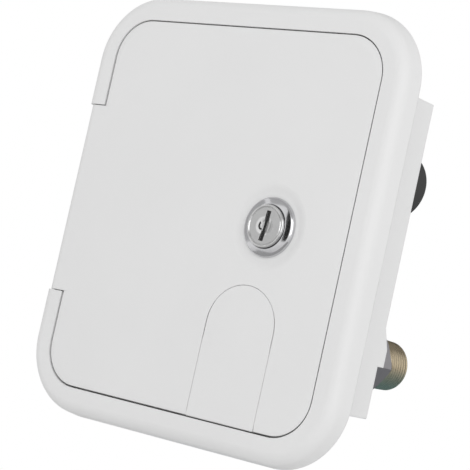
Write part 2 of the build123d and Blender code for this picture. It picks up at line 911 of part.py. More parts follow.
def make_filter_screen():
    outline = Circle(swivel_thread_radius - screen_gap)
    outline -= Circle(screen_hole_radius)
    outline -= PolarLocations(screen_circle, screen_holes) * Circle(screen_hole_radius)
    return slab(outline, inlet_flange_front - screen_thickness, inlet_flange_front, inlet_x, inlet_z)


def make_fill_neck():
    """The filling neck: a flanged mouth in the box and a ridged hose spigot behind it."""
    points = [
        (neck_bore, neck_mouth),
        (neck_mouth_radius, neck_mouth),
        (neck_mouth_radius, neck_flange_front),
        (neck_flange_radius, neck_flange_front),
        (neck_flange_radius, neck_flange_back),
        (neck_root_radius, neck_flange_back),
    ]
    lead_start = neck_end - neck_lead_length
    first = lead_start - neck_ridge_count * neck_ridge_pitch
    for i in range(neck_ridge_count):
        start = first + i * neck_ridge_pitch
        points.append((neck_root_radius, start))
        points.append((neck_ridge_radius, start + neck_ridge_rise))
        points.append((neck_ridge_radius, start + neck_ridge_crest))
        points.append((neck_root_radius, start + neck_ridge_length))
    points.append((neck_root_radius, lead_start))
    points.append((neck_lead_radius, lead_start + neck_ridge_rise))
    points.append((neck_lead_radius, neck_end))
    points.append((neck_bore, neck_end))
    neck = turned(points, neck_x, neck_z)
    for turn in (0, 180):
        neck += bayonet_lug(turn)
    for x, z in neck_screw_places():
        hole_radius = neck_screw_radius + neck_screw_play
        neck -= disc(hole_radius, neck_flange_front, neck_flange_back, x, z)
        neck -= screw_sink(x, z)
    return neck


def screw_sink(x, z):
    sink = neck_screw_head - neck_screw_radius
    return turned(
        [
            (0, neck_flange_front - cut_past),
            (neck_screw_head + neck_screw_play, neck_flange_front - cut_past),
            (neck_screw_head + neck_screw_play, neck_flange_front),
            (neck_screw_radius + neck_screw_play, neck_flange_front + sink),
            (0, neck_flange_front + sink),
        ],
        x,
        z,
    )


def bayonet_arc(outer, inner, turn):
    """A short arc between two radii, centred on an angle, as a flat outline."""
    half = math.radians(bayonet_lug_angle / 2)
    reach = outer * 2
    tip = reach * math.tan(half)
    wedge = make_face(Polyline((0, 0), (reach, -tip), (reach, tip), close=True))
    return Rot(0, 0, turn) * ((Circle(outer) - Circle(inner)) & wedge)


def bayonet_lug(turn):
    """A lug on the neck's mouth that the cap's lip turns in behind."""
    outline = bayonet_arc(neck_mouth_radius + bayonet_lug_height, neck_mouth_radius - bayonet_root, turn)
    lug_front = neck_mouth + bayonet_start
    return slab(outline, lug_front, lug_front + bayonet_lug_length, neck_x, neck_z)


def make_neck_gasket():
    outline = Circle(neck_flange_radius) - Circle(neck_root_radius + joint_clearance)
    gasket = slab(outline, neck_flange_back, box_back_inner, neck_x, neck_z)
    for x, z in neck_screw_places():
        gasket -= disc(neck_screw_radius + neck_screw_play, neck_flange_back, box_back_inner, x, z)
    return gasket


def make_neck_screws():
    sink = neck_screw_head - neck_screw_radius
    head_front = neck_flange_front + neck_screw_play
    end = neck_flange_front + neck_screw_length
    half_length, half_width = neck_screw_slot_length / 2, neck_screw_slot_width / 2
    slot_back = head_front + neck_screw_slot_depth
    screws = []
    for x, z in neck_screw_places():
        screw = turned(
            [
                (0, head_front),
                (neck_screw_head, head_front),
                (neck_screw_radius, head_front + sink),
                (neck_screw_radius, end - neck_screw_tip),
                (0, end),
            ],
            x,
            z,
        )
        slot = block(
            x - half_length, x + half_length, neck_flange_front, slot_back, z - half_width, z + half_width
        )
        screws.append(screw - slot)
    return Compound(screws)


def make_fill_cap():
    outline = Circle(cap_radius)
    step = 360 / cap_flutes
    reach = cap_radius + cap_flute_radius * cap_flute_bite
    for i in range(cap_flutes):
        angle = math.radians(i * step)
        outline -= Pos(reach * math.cos(angle), reach * math.sin(angle)) * Circle(cap_flute_radius)
    cap = slab(outline, cap_front, cap_skirt_end, neck_x, neck_z)
    cap -= disc(cap_bore, cap_inner, cap_skirt_end, neck_x, neck_z)
    lip_front = neck_mouth + bayonet_start + bayonet_lug_length + cap_lip_gap
    for turn in (0, 180):
        outline = bayonet_arc(cap_bore + bayonet_root, cap_lip_radius, turn)
        cap += slab(outline, lip_front, lip_front + cap_lip_thickness, neck_x, neck_z)
    grip = SlotOverall(2 * (cap_radius - cap_grip_inset), cap_grip_width)
    cap += slab(Rot(0, 0, 90) * grip, cap_front - cap_grip_height, cap_front, neck_x, neck_z)
    return cap


def make_cap_gasket():
    outer = cap_bore - cap_gasket_side_gap
    inner = neck_bore + cap_gasket_bore_gap
    return ring(outer, inner, cap_inner, cap_inner + cap_gasket_thickness, neck_x, neck_z)


makers = {
    "flange": make_flange,
    "box": make_box,
    "hinge_pin": make_hinge_pin,
    "door_seal": make_door_seal,
    "door_panel": make_door_panel,
    "lock_housing": make_lock_housing,
    "lock_washer": make_lock_washer,
    "lock_nut": make_lock_nut,
    "lock_plug": make_lock_plug,
    "lock_cam": make_lock_cam,
    "cam_screw": make_cam_screw,
    "hose_flap": make_hose_flap,
    "flap_pin": make_flap_pin,
    "inlet_tube": make_inlet_tube,
    "inlet_washer": make_inlet_washer,
    "inlet_locknut": make_inlet_locknut,
    "valve_body": make_valve_body,
    "outlet_nipple": make_outlet_nipple,
    "valve_poppet": make_valve_poppet,
    "poppet_seal": make_poppet_seal,
    "valve_spring": make_valve_spring,
    "spring_retainer": make_spring_retainer,
    "hose_swivel": make_hose_swivel,
    "hose_washer": make_hose_washer,
    "filter_screen": make_filter_screen,
    "fill_neck": make_fill_neck,
    "neck_gasket": make_neck_gasket,
    "neck_screws": make_neck_screws,
    "fill_cap": make_fill_cap,
    "cap_gasket": make_cap_gasket,
}

os.makedirs("parts", exist_ok=True)
for name, make in makers.items():
    export_step(make(), f"parts/{name}.step")
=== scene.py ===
import contextlib
import json
import math

import bmesh
import bpy
import numpy as np
from mathutils import Matrix, Vector

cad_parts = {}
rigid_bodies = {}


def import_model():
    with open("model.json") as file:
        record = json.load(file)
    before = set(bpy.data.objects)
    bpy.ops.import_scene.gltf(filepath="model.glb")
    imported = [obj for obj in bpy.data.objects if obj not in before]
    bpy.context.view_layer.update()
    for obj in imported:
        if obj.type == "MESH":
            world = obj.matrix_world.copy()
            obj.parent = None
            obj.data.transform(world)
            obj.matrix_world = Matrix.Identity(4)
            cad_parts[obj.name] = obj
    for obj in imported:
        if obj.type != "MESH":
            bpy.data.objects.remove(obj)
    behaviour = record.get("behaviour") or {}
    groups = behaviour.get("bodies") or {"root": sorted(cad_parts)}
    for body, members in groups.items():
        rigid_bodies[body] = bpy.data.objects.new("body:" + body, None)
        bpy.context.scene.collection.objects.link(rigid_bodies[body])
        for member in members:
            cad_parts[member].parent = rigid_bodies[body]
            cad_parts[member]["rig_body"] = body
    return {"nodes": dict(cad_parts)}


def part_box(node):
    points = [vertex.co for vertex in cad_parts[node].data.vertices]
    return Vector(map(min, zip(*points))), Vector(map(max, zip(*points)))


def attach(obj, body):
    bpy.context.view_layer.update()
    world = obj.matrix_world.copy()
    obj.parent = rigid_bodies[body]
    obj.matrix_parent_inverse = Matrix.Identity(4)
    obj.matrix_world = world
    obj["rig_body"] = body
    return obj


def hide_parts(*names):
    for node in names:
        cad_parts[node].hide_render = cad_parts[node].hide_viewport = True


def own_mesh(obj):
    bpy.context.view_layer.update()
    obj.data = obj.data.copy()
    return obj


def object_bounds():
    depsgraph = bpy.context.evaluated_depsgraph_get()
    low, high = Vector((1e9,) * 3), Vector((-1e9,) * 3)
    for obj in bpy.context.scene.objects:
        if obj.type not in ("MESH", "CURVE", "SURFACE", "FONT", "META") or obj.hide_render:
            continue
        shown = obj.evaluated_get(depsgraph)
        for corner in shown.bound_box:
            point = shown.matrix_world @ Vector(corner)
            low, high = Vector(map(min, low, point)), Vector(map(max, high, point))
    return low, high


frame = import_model()
cad_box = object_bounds()

bl_info = {
    "name": "Caravan water inlet hatch",
    "version": (1, 0, 0),
    "blender": (4, 5, 0),
    "location": "3D View > Sidebar > Water inlet",
    "description": "Finishes a lockable water inlet hatch: mouldings, lock, threads, seal and stage",
    "category": "Object",
}

MM = 0.001

# Points nearer than these are one point, in meshes made here and in the CAD ones.
MERGE = 0.0005 * MM
CAD_MERGE = 0.002 * MM

# How far a point may stand from an outline's depth and reach and still count as on it.
DEPTH_NEAR = 0.02 * MM
REACH_NEAR = 0.05 * MM

# Next to nothing, so that no division meets zero and equal depths compare as equal.
TINY = 1e-9

# The rings of a wave texture of scale 1 repeat after this length.
WAVE_LENGTH = 0.314


def linear(code):
    """An sRGB hex colour such as #DEDEDE as linear red, green and blue."""
    parts = [int(code[i : i + 2], 16) / 255 for i in (1, 3, 5)]
    return tuple(c / 12.92 if c <= 0.04045 else ((c + 0.055) / 1.055) ** 2.4 for c in parts)


def axis_of(node):
    """The x and z of the line along Y through the middle of a round CAD node."""
    low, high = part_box(node)
    return (low.x + high.x) / 2, (low.z + high.z) / 2


def length_property(name, text, default, top=0.1):
    """A length in metres, shown in the panel."""
    return bpy.props.FloatProperty(
        name=name, description=text, default=default, min=0.0, max=top, unit="LENGTH", precision=5
    )


def colour_property(name, text, code):
    """A colour from its hex code, shown in the panel."""
    return bpy.props.FloatVectorProperty(
        name=name, description=text, default=linear(code), min=0.0, max=1.0, subtype="COLOR"
    )


class HatchSizes(bpy.types.PropertyGroup):
    opening_width: length_property("Opening width", "Across the door opening", 139.5 * MM, 0.5)
    opening_height: length_property("Opening height", "Height of the door opening", 160.0 * MM, 0.5)
    opening_corner: length_property("Opening corner", "Radius of the opening's corners", 17.3 * MM)
    opening_bevel: length_property("Opening bevel", "Bevel of the CAD opening, closed here", 0.8 * MM)
    door_gap: length_property("Door gap", "Between the door and the opening", 0.5 * MM)
    door_bevel_depth: length_property("Door bevel depth", "From the front face to its edge", 0.35 * MM)
    door_edge: length_property("Door edge", "Width of the rounding on the door's edge", 0.5 * MM)
    door_rise: length_property("Door rise", "How much higher the door's top sits here", 0.26 * MM)
    flap_fit: length_property("Flap fit", "How much wider the face is, but for its pin", 0.24 * MM)
    flap_play: length_property("Flap play", "Height at the pin that keeps the CAD gap", 3.6 * MM)
    flap_fade: length_property("Flap fade", "Height over which the fit grows", 6 * MM)
    pipe_pitch: length_property("Pipe thread pitch", "14 turns to the inch", 25.4 * MM / 14)
    pipe_depth: length_property("Pipe thread depth", "Crest to root of the male thread", 1.16 * MM)
    nipple_bore: length_property("Nipple bore", "Radius of the way through the nipple", 6.9 * MM)
    pipe_run_out: length_property("Pipe run-out", "Length over which the thread begins", 2.2 * MM)
    bore_chamfer: length_property("Bore chamfer", "Chamfer at the mouth of the bore", 0.4 * MM)
    nipple_spigot: length_property("Nipple spigot", "Radius of the end inside the valve", 9.2 * MM)
    nipple_chamber: length_property("Nipple chamber", "Radius of the spring's hollow", 7.9 * MM)
    nipple_spigot_length: length_property("Spigot length", "Length inside the valve body", 5.7 * MM)
    retainer_end: length_property("Retainer end", "From the nipple's end to its shoulder", 11.9 * MM)
    valve_travel: length_property("Valve travel", "How far the poppet shortens its spring", 4 * MM)
    hose_pitch: length_property("Hose thread pitch", "11.5 turns to the inch", 25.4 * MM / 11.5)
    hose_depth: length_property("Hose thread depth", "Crest to root of the swivel's thread", 0.9 * MM)
    hose_crest: length_property("Hose thread crest", "Radius of the thread at its crests", 12.6 * MM)
    hose_thread_length: length_property("Hose thread length", "From the swivel's mouth", 7.4 * MM)
    hose_run_out: length_property("Hose run-out", "Length over which the thread ends", 1.2 * MM)
    mouth_chamfer: length_property("Mouth chamfer", "Chamfer at the swivel's mouth", 0.5 * MM)
    swivel_chamber: length_property("Swivel chamber", "Radius behind the thread", 12.9 * MM)
    swivel_back_wall: length_property("Swivel back wall", "Wall behind the tube's flange", 3.2 * MM)
    swivel_bore: length_property("Swivel bore", "Radius of the hole that the tube stands in", 9.3 * MM)
    swivel_round: length_property("Swivel round", "Radius of the swivel's front edge", 0.9 * MM)
    swivel_band: length_property("Swivel band", "Plain band in front of the scallops", 2.4 * MM)
    swivel_chamfer: length_property("Swivel chamfer", "Chamfer of the swivel's back edge", 1.5 * MM)
    scallop_radius: length_property("Scallop radius", "Radius of each finger hold", 1.8 * MM)
    lock_pitch: length_property("Lock thread pitch", "Thread of the lock's body", 1.0 * MM)
    lock_depth: length_property("Lock thread depth", "Crest to root of the lock's thread", 0.55 * MM)
    lock_body: length_property("Lock body radius", "Radius of the lock's body at its crests", 9.3 * MM)
    lock_half_flats: length_property("Lock half flats", "From the lock's axis to each flat", 8.3 * MM)
    lock_chamfer: length_property("Lock chamfer", "Chamfer and run-out at the body's end", 0.6 * MM)
    lock_bore: length_property("Lock bore", "Radius of the bore that the plug turns in", 6.48 * MM)
    lip_gap: length_property("Lip gap", "Between the plug's head and the bezel's lip", 0.15 * MM)
    lip_round: length_property("Lip round", "Radius of the lip's front edge", 0.3 * MM)
    cone_rise: length_property("Cone rise", "How far the cone rises towards the lip", 0.68 * MM)
    bezel_roll: length_property("Bezel roll", "Width of the bezel's rounded outer edge", 1.9 * MM)
    roll_depth: length_property("Roll depth", "From the roll's top to the straight edge", 1.7 * MM)
    bezel_edge: length_property("Bezel edge", "Height of the bezel's straight edge", 0.3 * MM)
    seat_depth: length_property("Seat depth", "From the CAD bezel's rim to the plug's seat", 0.95 * MM)
    bezel_thickness: length_property("Bezel thickness", "From its back to the CAD rim", 1.3 * MM)
    keyway_width: length_property("Keyway width", "Across the keyway", 2.2 * MM)
    keyway_lean: bpy.props.FloatProperty(
        name="Keyway lean",
        description="Turn of the keyway from upright",
        default=math.radians(6),
        subtype="ANGLE",
    )
    keyway_height: length_property("Keyway height", "Length of the keyway's mouth", 12.3 * MM)
    keyway_depth: length_property("Keyway depth", "From the plug's rim to its floor", 3.4 * MM)
    plug_recess: length_property("Plug recess", "From the plug's rim down to its face", 0.25 * MM)
    plug_rim: length_property("Plug rim", "Width of the raised rim", 0.9 * MM)
    rim_round: length_property("Rim round", "Radius of the rim's outer edge", 0.4 * MM)
    groove_width: length_property("Groove width", "Width of the groove inside the rim", 0.5 * MM)
    groove_depth: length_property("Groove depth", "Depth of the groove inside the rim", 0.22 * MM)
    dimple_rim: length_property("Dimple radius", "Where the dimple meets the face", 5.1 * MM)
    dimple_floor: length_property("Dimple floor radius", "Where the dimple meets its floor", 2.0 * MM)
    dimple_depth: length_property("Dimple depth", "From the face to the dimple's floor", 0.8 * MM)
    plug_head: length_property("Plug head", "Length of the plug's head", 3.45 * MM)
    plug_shaft: length_property("Plug shaft", "Radius of the shaft in the lock's body", 6.4 * MM)
    tail_length: length_property("Tail length", "Length of the square tail", 1.9 * MM)
    tail_half: length_property("Tail half width", "From the axis to a flat of the tail", 3.5 * MM)
    tail_bore: length_property("Tail bore", "Radius of the screw's hole", 2.02 * MM)
    tail_bore_length: length_property("Tail bore length", "Depth of the screw's hole", 7.9 * MM)
    wire_radius: length_property("Screen wire radius", "Half the thickness of a wire", 0.13 * MM)
    wire_pitch: length_property("Screen wire pitch", "From one wire to the next", 1.1 * MM)
    screen_rim: length_property("Screen rim", "Width of the rim that holds the wires", 1.6 * MM)
    screen_round: length_property("Screen rim round", "Radius of the rim's edges", 0.3 * MM)
    seal_width: length_property("Seal width", "Across the foot of the door's seal", 3.4 * MM)
    seal_corner: length_property("Seal corner", "Outer radius of the seal's corners", 4.0 * MM)


class HatchColours(bpy.types.PropertyGroup):
    white: colour_property("White moulding", "Housing, door and flap", "#E5E5E5")
    black: colour_property("Black moulding", "Neck, cap and spring retainer", "#363636")
    rubber: colour_property("Rubber", "Seals and washers", "#232323")
    chrome: colour_property("Chrome", "Bezel and body of the lock", "#CCCCCE")
    plug: colour_property("Plug", "Face of the lock's plug", "#D6D6D6")
    nickel: colour_property("Dull nickel", "Valve body and locknut", "#8F8D90")
    brass: colour_property("Brass", "Tube, poppet and swivel", "#B5A47A")
    dull_brass: colour_property("Dull brass", "Nipple", "#9B8F79")
    # Painted shade that darkens the roots of the nipple's thread, where shade falls.
    painted_root_shade: colour_property("Grime", "Roots of the nipple's thread", "#545046")
    # Partly tarnish and partly painted reflection: the underside of the nipple's thread turns teal and
    # darker.
    tarnish_and_painted_reflection: colour_property("Verdigris", "Underside of the nipple's thread", "#80968D")
    # A darker colour deeper inside the keyway.
    keyway: colour_property("Keyway", "Greasy dirt inside the keyway", "#9E9E9E")
    zinc: colour_property("Zinc", "Cam, nut, washer and screw", "#A4A8AE")
    steel: colour_property("Stainless", "Pins, screws, spring and screen", "#A9AAAA")
    floor: colour_property("Floor", "Plain pale floor", "#F4F4F4")


def sizes():
    """The lengths from the panel."""
    return bpy.context.scene.hatch_sizes


def colours():
    """The colours from the panel."""
    return bpy.context.scene.hatch_colours


def node_in(tree, kind, settings=None, inputs=None, links=None):
    """Adds one node: settings are its properties, inputs its plain values, links its sources."""
    node = tree.nodes.new(kind)
    for key, value in (settings or {}).items():
        setattr(node, key, value)
    for key, value in (inputs or {}).items():
        node.inputs[key].default_value = value
    for key, source in (links or {}).items():
        tree.links.new(source, node.inputs[key])
    return node


def empty_material(name):
    """A material without nodes, and its node tree."""
    material = bpy.data.materials.new(name)
    material.use_nodes = True
    material.node_tree.nodes.clear()
    return material, material.node_tree


def new_material(name):
    """A node material with its output, and the shader that feeds it."""
    material, tree = empty_material(name)
    shader = node_in(tree, "ShaderNodeBsdfPrincipled")
    node_in(tree, "ShaderNodeOutputMaterial", links={"Surface": shader.outputs[0]})
    return material, tree, shader


def shade(tree, position, colour, amount, size, detail=3.0, stretch=(1, 1, 1)):
    """A colour that wanders darker and lighter by an amount over patches of a size in metres."""
    place = node_in(tree, "ShaderNodeMapping", inputs={"Scale": stretch}, links={"Vector": position})
    patches = node_in(
        tree,
        "ShaderNodeTexNoise",
        inputs={"Scale": 1 / size, "Detail": detail, "Roughness": 0.55},
        links={"Vector": place.outputs[0]},
    )
    ramp = node_in(tree, "ShaderNodeValToRGB", links={"Fac": patches.outputs["Fac"]})
    dark = tuple(max(c * (1 - amount), 0) for c in colour)
    light = tuple(min(c * (1 + amount), 1) for c in colour)
    ramp.color_ramp.elements[0].position = 0.3
    ramp.color_ramp.elements[0].color = (*dark, 1)
    ramp.color_ramp.elements[1].position = 0.7
    ramp.color_ramp.elements[1].color = (*light, 1)
    return patches, ramp


def rough_range(tree, source, low, high):
    """Roughness that follows a pattern between two values."""
    return node_in(
        tree,
        "ShaderNodeMapRange",
        inputs={"From Min": 0.3, "From Max": 0.7, "To Min": low, "To Max": high},
        links={"Value": source},
    )


def grain(tree, position, size, height, stretch=(1, 1, 1), edge=0.0):
    """A fine bump of a grain size and height in metres, over edges softened by a radius."""
    place = node_in(tree, "ShaderNodeMapping", inputs={"Scale": stretch}, links={"Vector": position})
    noise = node_in(
        tree,
        "ShaderNodeTexNoise",
        inputs={"Scale": 1 / size, "Detail": 2.0},
        links={"Vector": place.outputs[0]},
    )
    links = {"Height": noise.outputs[0]}
    if edge:
        soft = node_in(tree, "ShaderNodeBevel", {"samples": 4}, {"Radius": edge})
        links["Normal"] = soft.outputs[0]
    return node_in(tree, "ShaderNodeBump", inputs={"Strength": 1.0, "Distance": height}, links=links)


def surface(name, colour, wander, patch, rough, fine, height, values, edge=0.0, detail=3.0,
            stretch=(1, 1, 1)):
    """A material whose colour wanders by an amount over patches, whose roughness follows them
    between two values, and whose fine bump has a size and a height. Values are the shader's own."""
    material, tree, shader = new_material(name)
    where = node_in(tree, "ShaderNodeTexCoord").outputs["Object"]
    patches, ramp = shade(tree, where, colour, wander, patch, detail, stretch)
    tree.links.new(ramp.outputs[0], shader.inputs["Base Color"])
    roughness = rough_range(tree, patches.outputs[0], *rough)
    tree.links.new(roughness.outputs[0], shader.inputs["Roughness"])
    bump = grain(tree, where, fine, height, stretch, edge)
    tree.links.new(bump.outputs[0], shader.inputs["Normal"])
    for key, value in values.items():
        shader.inputs[key].default_value = value
    return material


def white_moulding():
    """Injection-moulded ASA from a fine satin tool: a soft even sheen that shows no grain from a
    step away, and edges rounded by the mould."""
    # The real grain is under 0.1 mm, drawn at 0.6 mm so that it shows close by.
    return surface(
        "asa_moulded_white_satin", colours().white, 0.008, 45 * MM, (0.46, 0.52), 0.6 * MM,
        0.004 * MM, {"IOR": 1.52, "Specular IOR Level": 0.4}, edge=0.35 * MM,
    )


def black_moulding():
    """Injection-moulded black polypropylene from a spark-eroded tool: nearly matt, so that its
    curve shows only as a faint change from dark to darker grey."""
    return surface(
        "polypropylene_moulded_black", colours().black, 0.12, 12 * MM, (0.62, 0.72), 0.5 * MM,
        0.012 * MM, {"IOR": 1.49, "Specular IOR Level": 0.3}, edge=0.3 * MM,
    )


def seal_rubber():
    """Extruded EPDM: matt black with a dusty bloom."""
    return surface(
        "epdm_extruded_matt", colours().rubber, 0.25, 3 * MM, (0.66, 0.82), 0.4 * MM, 0.01 * MM,
        {"IOR": 1.5},
    )


def chrome():
    """Die-cast zinc, polished and chromed: a bright mirror with faint polishing waves."""
    return surface(
        "zinc_diecast_polished_chrome", colours().chrome, 0.04, 5 * MM, (0.1, 0.15), 2.5 * MM,
        0.004 * MM, {"Metallic": 1.0}, edge=0.12 * MM,
    )


def drawn_steel(name, rough, stretch):
    """Drawn stainless: long fine lines along the wire or rod."""
    return surface(
        name, colours().steel, 0.08, 0.5 * MM, rough, 0.3 * MM, 0.003 * MM, {"Metallic": 1.0},
        stretch=stretch,
    )


def zinc_plate():
    """Pressed steel, zinc plated and passivated: a bluish bloom with faint cloudy patches."""
    return surface(
        "steel_pressed_zinc_plated", colours().zinc, 0.12, 4 * MM, (0.26, 0.42), 0.5 * MM,
        0.006 * MM, {"Metallic": 1.0}, edge=0.15 * MM, detail=5.0,
    )


def blend(tree, base_colour, other, source, inputs):
    """The base colour, giving way to another one as a source passes through a range."""
    amount = node_in(tree, "ShaderNodeMapRange", inputs=inputs, links={"Value": source})
    return node_in(
        tree, "ShaderNodeMixRGB", inputs={2: (*other, 1)}, links={0: amount.outputs[0], 1: base_colour}
    )


def paint_root_shade(tree, centred, base_colour, dark, low, high):
    """Painted shade: the base colour, dulled to a dark one between two distances from the axis along
    Y.
    """
    flat = node_in(tree, "ShaderNodeMapping", inputs={"Scale": (1, 0, 1)}, links={"Vector": centred})
    reach = node_in(tree, "ShaderNodeVectorMath", {"operation": "LENGTH"}, links={0: flat.outputs[0]})
    past = node_in(
        tree,
        "ShaderNodeMath",
        {"operation": "SUBTRACT"},
        {1: (low + high) / 2},
        {0: reach.outputs["Value"]},
    )
    far = node_in(tree, "ShaderNodeMath", {"operation": "ABSOLUTE"}, links={0: past.outputs[0]})
    # Full painted shade within a fifth of the span from its middle, and none past six tenths of it.
    inner, outer = (high - low) * 0.2, (high - low) * 0.6
    fade = {"From Min": inner, "From Max": outer, "To Min": 1.0, "To Max": 0.0}
    return blend(tree, base_colour, dark, far.outputs[0], fade)


def fade_along(tree, where, base_colour, axis, faded_colour, start, run):
    """The base colour, fading to another one along X, Y or Z, from a start and over a run."""
    parts = node_in(tree, "ShaderNodeSeparateXYZ", links={0: where})
    fade = {"From Min": start, "From Max": start + run}
    return blend(tree, base_colour, faded_colour, parts.outputs[axis], fade)


def turned_metal(name, colour, centre, ring_pitch, ring_height, rough, patch, wander,
                 painted_root_shade=None, colour_fade=None):
    """Turned metal: rings round the piece's axis along Y, left by the tool, under a dull bloom.
    Painted root shade is a colour and two radii that darken a thread's roots, and a colour fade is an
    axis, a colour, a start and a run."""
    material, tree, shader = new_material(name)
    where = node_in(tree, "ShaderNodeTexCoord").outputs["Object"]
    patches, shown = shade(tree, where, colour, wander, patch)
    roughness = rough_range(tree, patches.outputs[0], *rough)
    tree.links.new(roughness.outputs[0], shader.inputs["Roughness"])
    offset = (-centre[0], 0, -centre[1])
    centred = node_in(
        tree, "ShaderNodeMapping", inputs={"Location": offset}, links={"Vector": where}
    )
    # Tool rings are finer than 0.1 mm on the real piece, and are drawn as coarse as shows.
    rings = node_in(
        tree,
        "ShaderNodeTexWave",
        {"wave_type": "RINGS", "rings_direction": "Y", "wave_profile": "SAW"},
        {"Scale": WAVE_LENGTH / ring_pitch, "Distortion": 0.4, "Detail": 1.0},
        {"Vector": centred.outputs[0]},
    )
    # Painted shade in a thread's roots, darker between two radii.
    if painted_root_shade:
        shown = paint_root_shade(tree, centred.outputs[0], shown.outputs[0], *painted_root_shade)
    if colour_fade:
        shown = fade_along(tree, where, shown.outputs[0], *colour_fade)
    tree.links.new(shown.outputs[0], shader.inputs["Base Color"])
    soft = node_in(tree, "ShaderNodeBevel", {"samples": 4}, {"Radius": 0.15 * MM})
    bump = node_in(
        tree,
        "ShaderNodeBump",
        inputs={"Strength": 1.0, "Distance": ring_height},
        links={"Height": rings.outputs["Fac"], "Normal": soft.outputs[0]},
    )
    tree.links.new(bump.outputs[0], shader.inputs["Normal"])
    shader.inputs["Metallic"].default_value = 1.0
    return material


def put(name, data):
    """Adds an object to the scene."""
    item = bpy.data.objects.new(name, data)
    bpy.context.scene.collection.objects.link(item)
    return item


def link_piece(name, mesh, material, body, slot, *nodes):
    """Puts a mesh into the scene as a finished piece that rides on a body and stands for nodes."""
    piece = put(name, mesh)
    mesh.materials.clear()
    mesh.materials.append(material)
    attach(piece, body)
    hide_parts(*nodes)
    return piece


def smooth(mesh, crease):
    """Smooth shading with creases where faces meet at more than an angle in degrees."""
    mesh.polygons.foreach_set("use_smooth", np.ones(len(mesh.polygons), bool))
    mesh.set_sharp_from_angle(angle=math.radians(crease))
    mesh.update()


def on_rim(points, low, high, depth, reach):
    """Which points lie at one depth and at one reach from the straight core of a rounded outline,
    with where they stand from that core. Low and high are the core's corners in x and z."""
    flat = points[:, (0, 2)]
    core = np.clip(flat, low, high)
    out = flat - core
    far = np.linalg.norm(out, axis=1)
    near = (np.abs(points[:, 1] - depth) < DEPTH_NEAR) & (np.abs(far - reach) < REACH_NEAR)
    return near, core, out, far


@contextlib.contextmanager
def editing(mesh):
    """The mesh opened for editing, and written back at the end."""
    form = bmesh.new()
    form.from_mesh(mesh)
    yield form
    form.to_mesh(mesh)
    form.free()


def mesh_points(mesh):
    """The mesh's points as rows of x, y and z."""
    points = np.empty(len(mesh.vertices) * 3, np.float32)
    mesh.vertices.foreach_get("co", points)
    return points.reshape(-1, 3)


def cut_across(mesh, heights):
    """Adds a row of points all round a mesh at each height."""
    with editing(mesh) as form:
        for height in heights:
            parts = form.verts[:] + form.edges[:] + form.faces[:]
            bmesh.ops.bisect_plane(
                form, geom=parts, dist=0.001 * MM, plane_co=(0, 0, height), plane_no=(0, 0, 1)
            )


def shift_rim(mesh, low, high, depth, reach, step, level=0.0, still=0.0, fade=0.0):
    """Moves a rounded outline's front points outwards by a step. With a fade, the step is nothing
    as far as still above and below one level, and grows to its full length over the fade."""
    points = mesh_points(mesh)
    near, core, out, far = on_rim(points, low, high, depth, reach)
    away = np.abs(points[near, 2] - level) - still
    share = np.clip(away / fade, 0, 1) if fade else 1.0
    moved = core[near] + out[near] * ((reach + step * share) / far[near])[:, None]
    points[near, 0] = moved[:, 0]
    points[near, 2] = moved[:, 1]
    mesh.vertices.foreach_set("co", points.ravel())


def raise_top(mesh, above, before, rise):
    """Lifts the points above one height and in front of one depth."""
    points = mesh_points(mesh)
    points[(points[:, 2] > above) & (points[:, 1] < before), 2] += rise
    mesh.vertices.foreach_set("co", points.ravel())


def round_rim(mesh, low, high, depth, reach, width):
    """Rounds a rounded outline's front edge."""
    near = on_rim(mesh_points(mesh), low, high, depth, reach)[0]
    with editing(mesh) as form:
        rim = [edge for edge in form.edges if all(near[vert.index] for vert in edge.verts)]
        bmesh.ops.bevel(form, geom=rim, offset=width, offset_type="OFFSET", segments=4, profile=0.5,
                        affect="EDGES", clamp_overlap=False)


def refine(node, material, slot, shape=None):
    """A merged copy of a CAD node with smooth curves, flat faces kept flat and crisp creases."""
    source = frame["nodes"][node]
    mesh = source.data.copy()
    mesh.name = f"{node}_finish"
    if mesh.has_custom_normals:
        mesh.attributes.remove(mesh.attributes["custom_normal"])
    with editing(mesh) as form:
        bmesh.ops.remove_doubles(form, verts=form.verts, dist=CAD_MERGE)
        bmesh.ops.dissolve_degenerate(form, edges=form.edges, dist=MERGE)
    if shape:
        shape(mesh)
    smooth(mesh, 24)
    piece = link_piece(f"{node}_finish", mesh, material, source["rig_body"], slot, node)
    weights = piece.modifiers.new("even_normals", "WEIGHTED_NORMAL")
    weights.mode = "FACE_AREA"
    weights.keep_sharp = True
    return piece


def grid_mesh(name, points, crease):
    """Quads between neighbours of one or more (rows, columns, 3) arrays. Edges that meet are
    merged."""
    index = np.arange(points[..., 0].size).reshape(points.shape[:-1])
    quads = np.stack(
        [index[..., :-1, :-1], index[..., :-1, 1:], index[..., 1:, 1:], index[..., 1:, :-1]], axis=-1
    )
    mesh = bpy.data.meshes.new(name)
    mesh.from_pydata(points.reshape(-1, 3).tolist(), [], quads.reshape(-1, 4).tolist())
    with editing(mesh) as form:
        bmesh.ops.remove_doubles(form, verts=form.verts, dist=MERGE)
        bmesh.ops.dissolve_degenerate(form, edges=form.edges, dist=MERGE)
        bmesh.ops.recalc_face_normals(form, faces=form.faces)
    smooth(mesh, crease)
    return mesh


def round_table(columns):
    """The angles of a full turn, with the first one again at the end."""
    return np.linspace(0, 2 * np.pi, columns + 1)


def plain_rows(points, columns):
    """Rows of a turned section: the same radius and depth at every angle."""
    table = np.array(points, float)
    return np.repeat(table[:, None, :], columns + 1, axis=1)


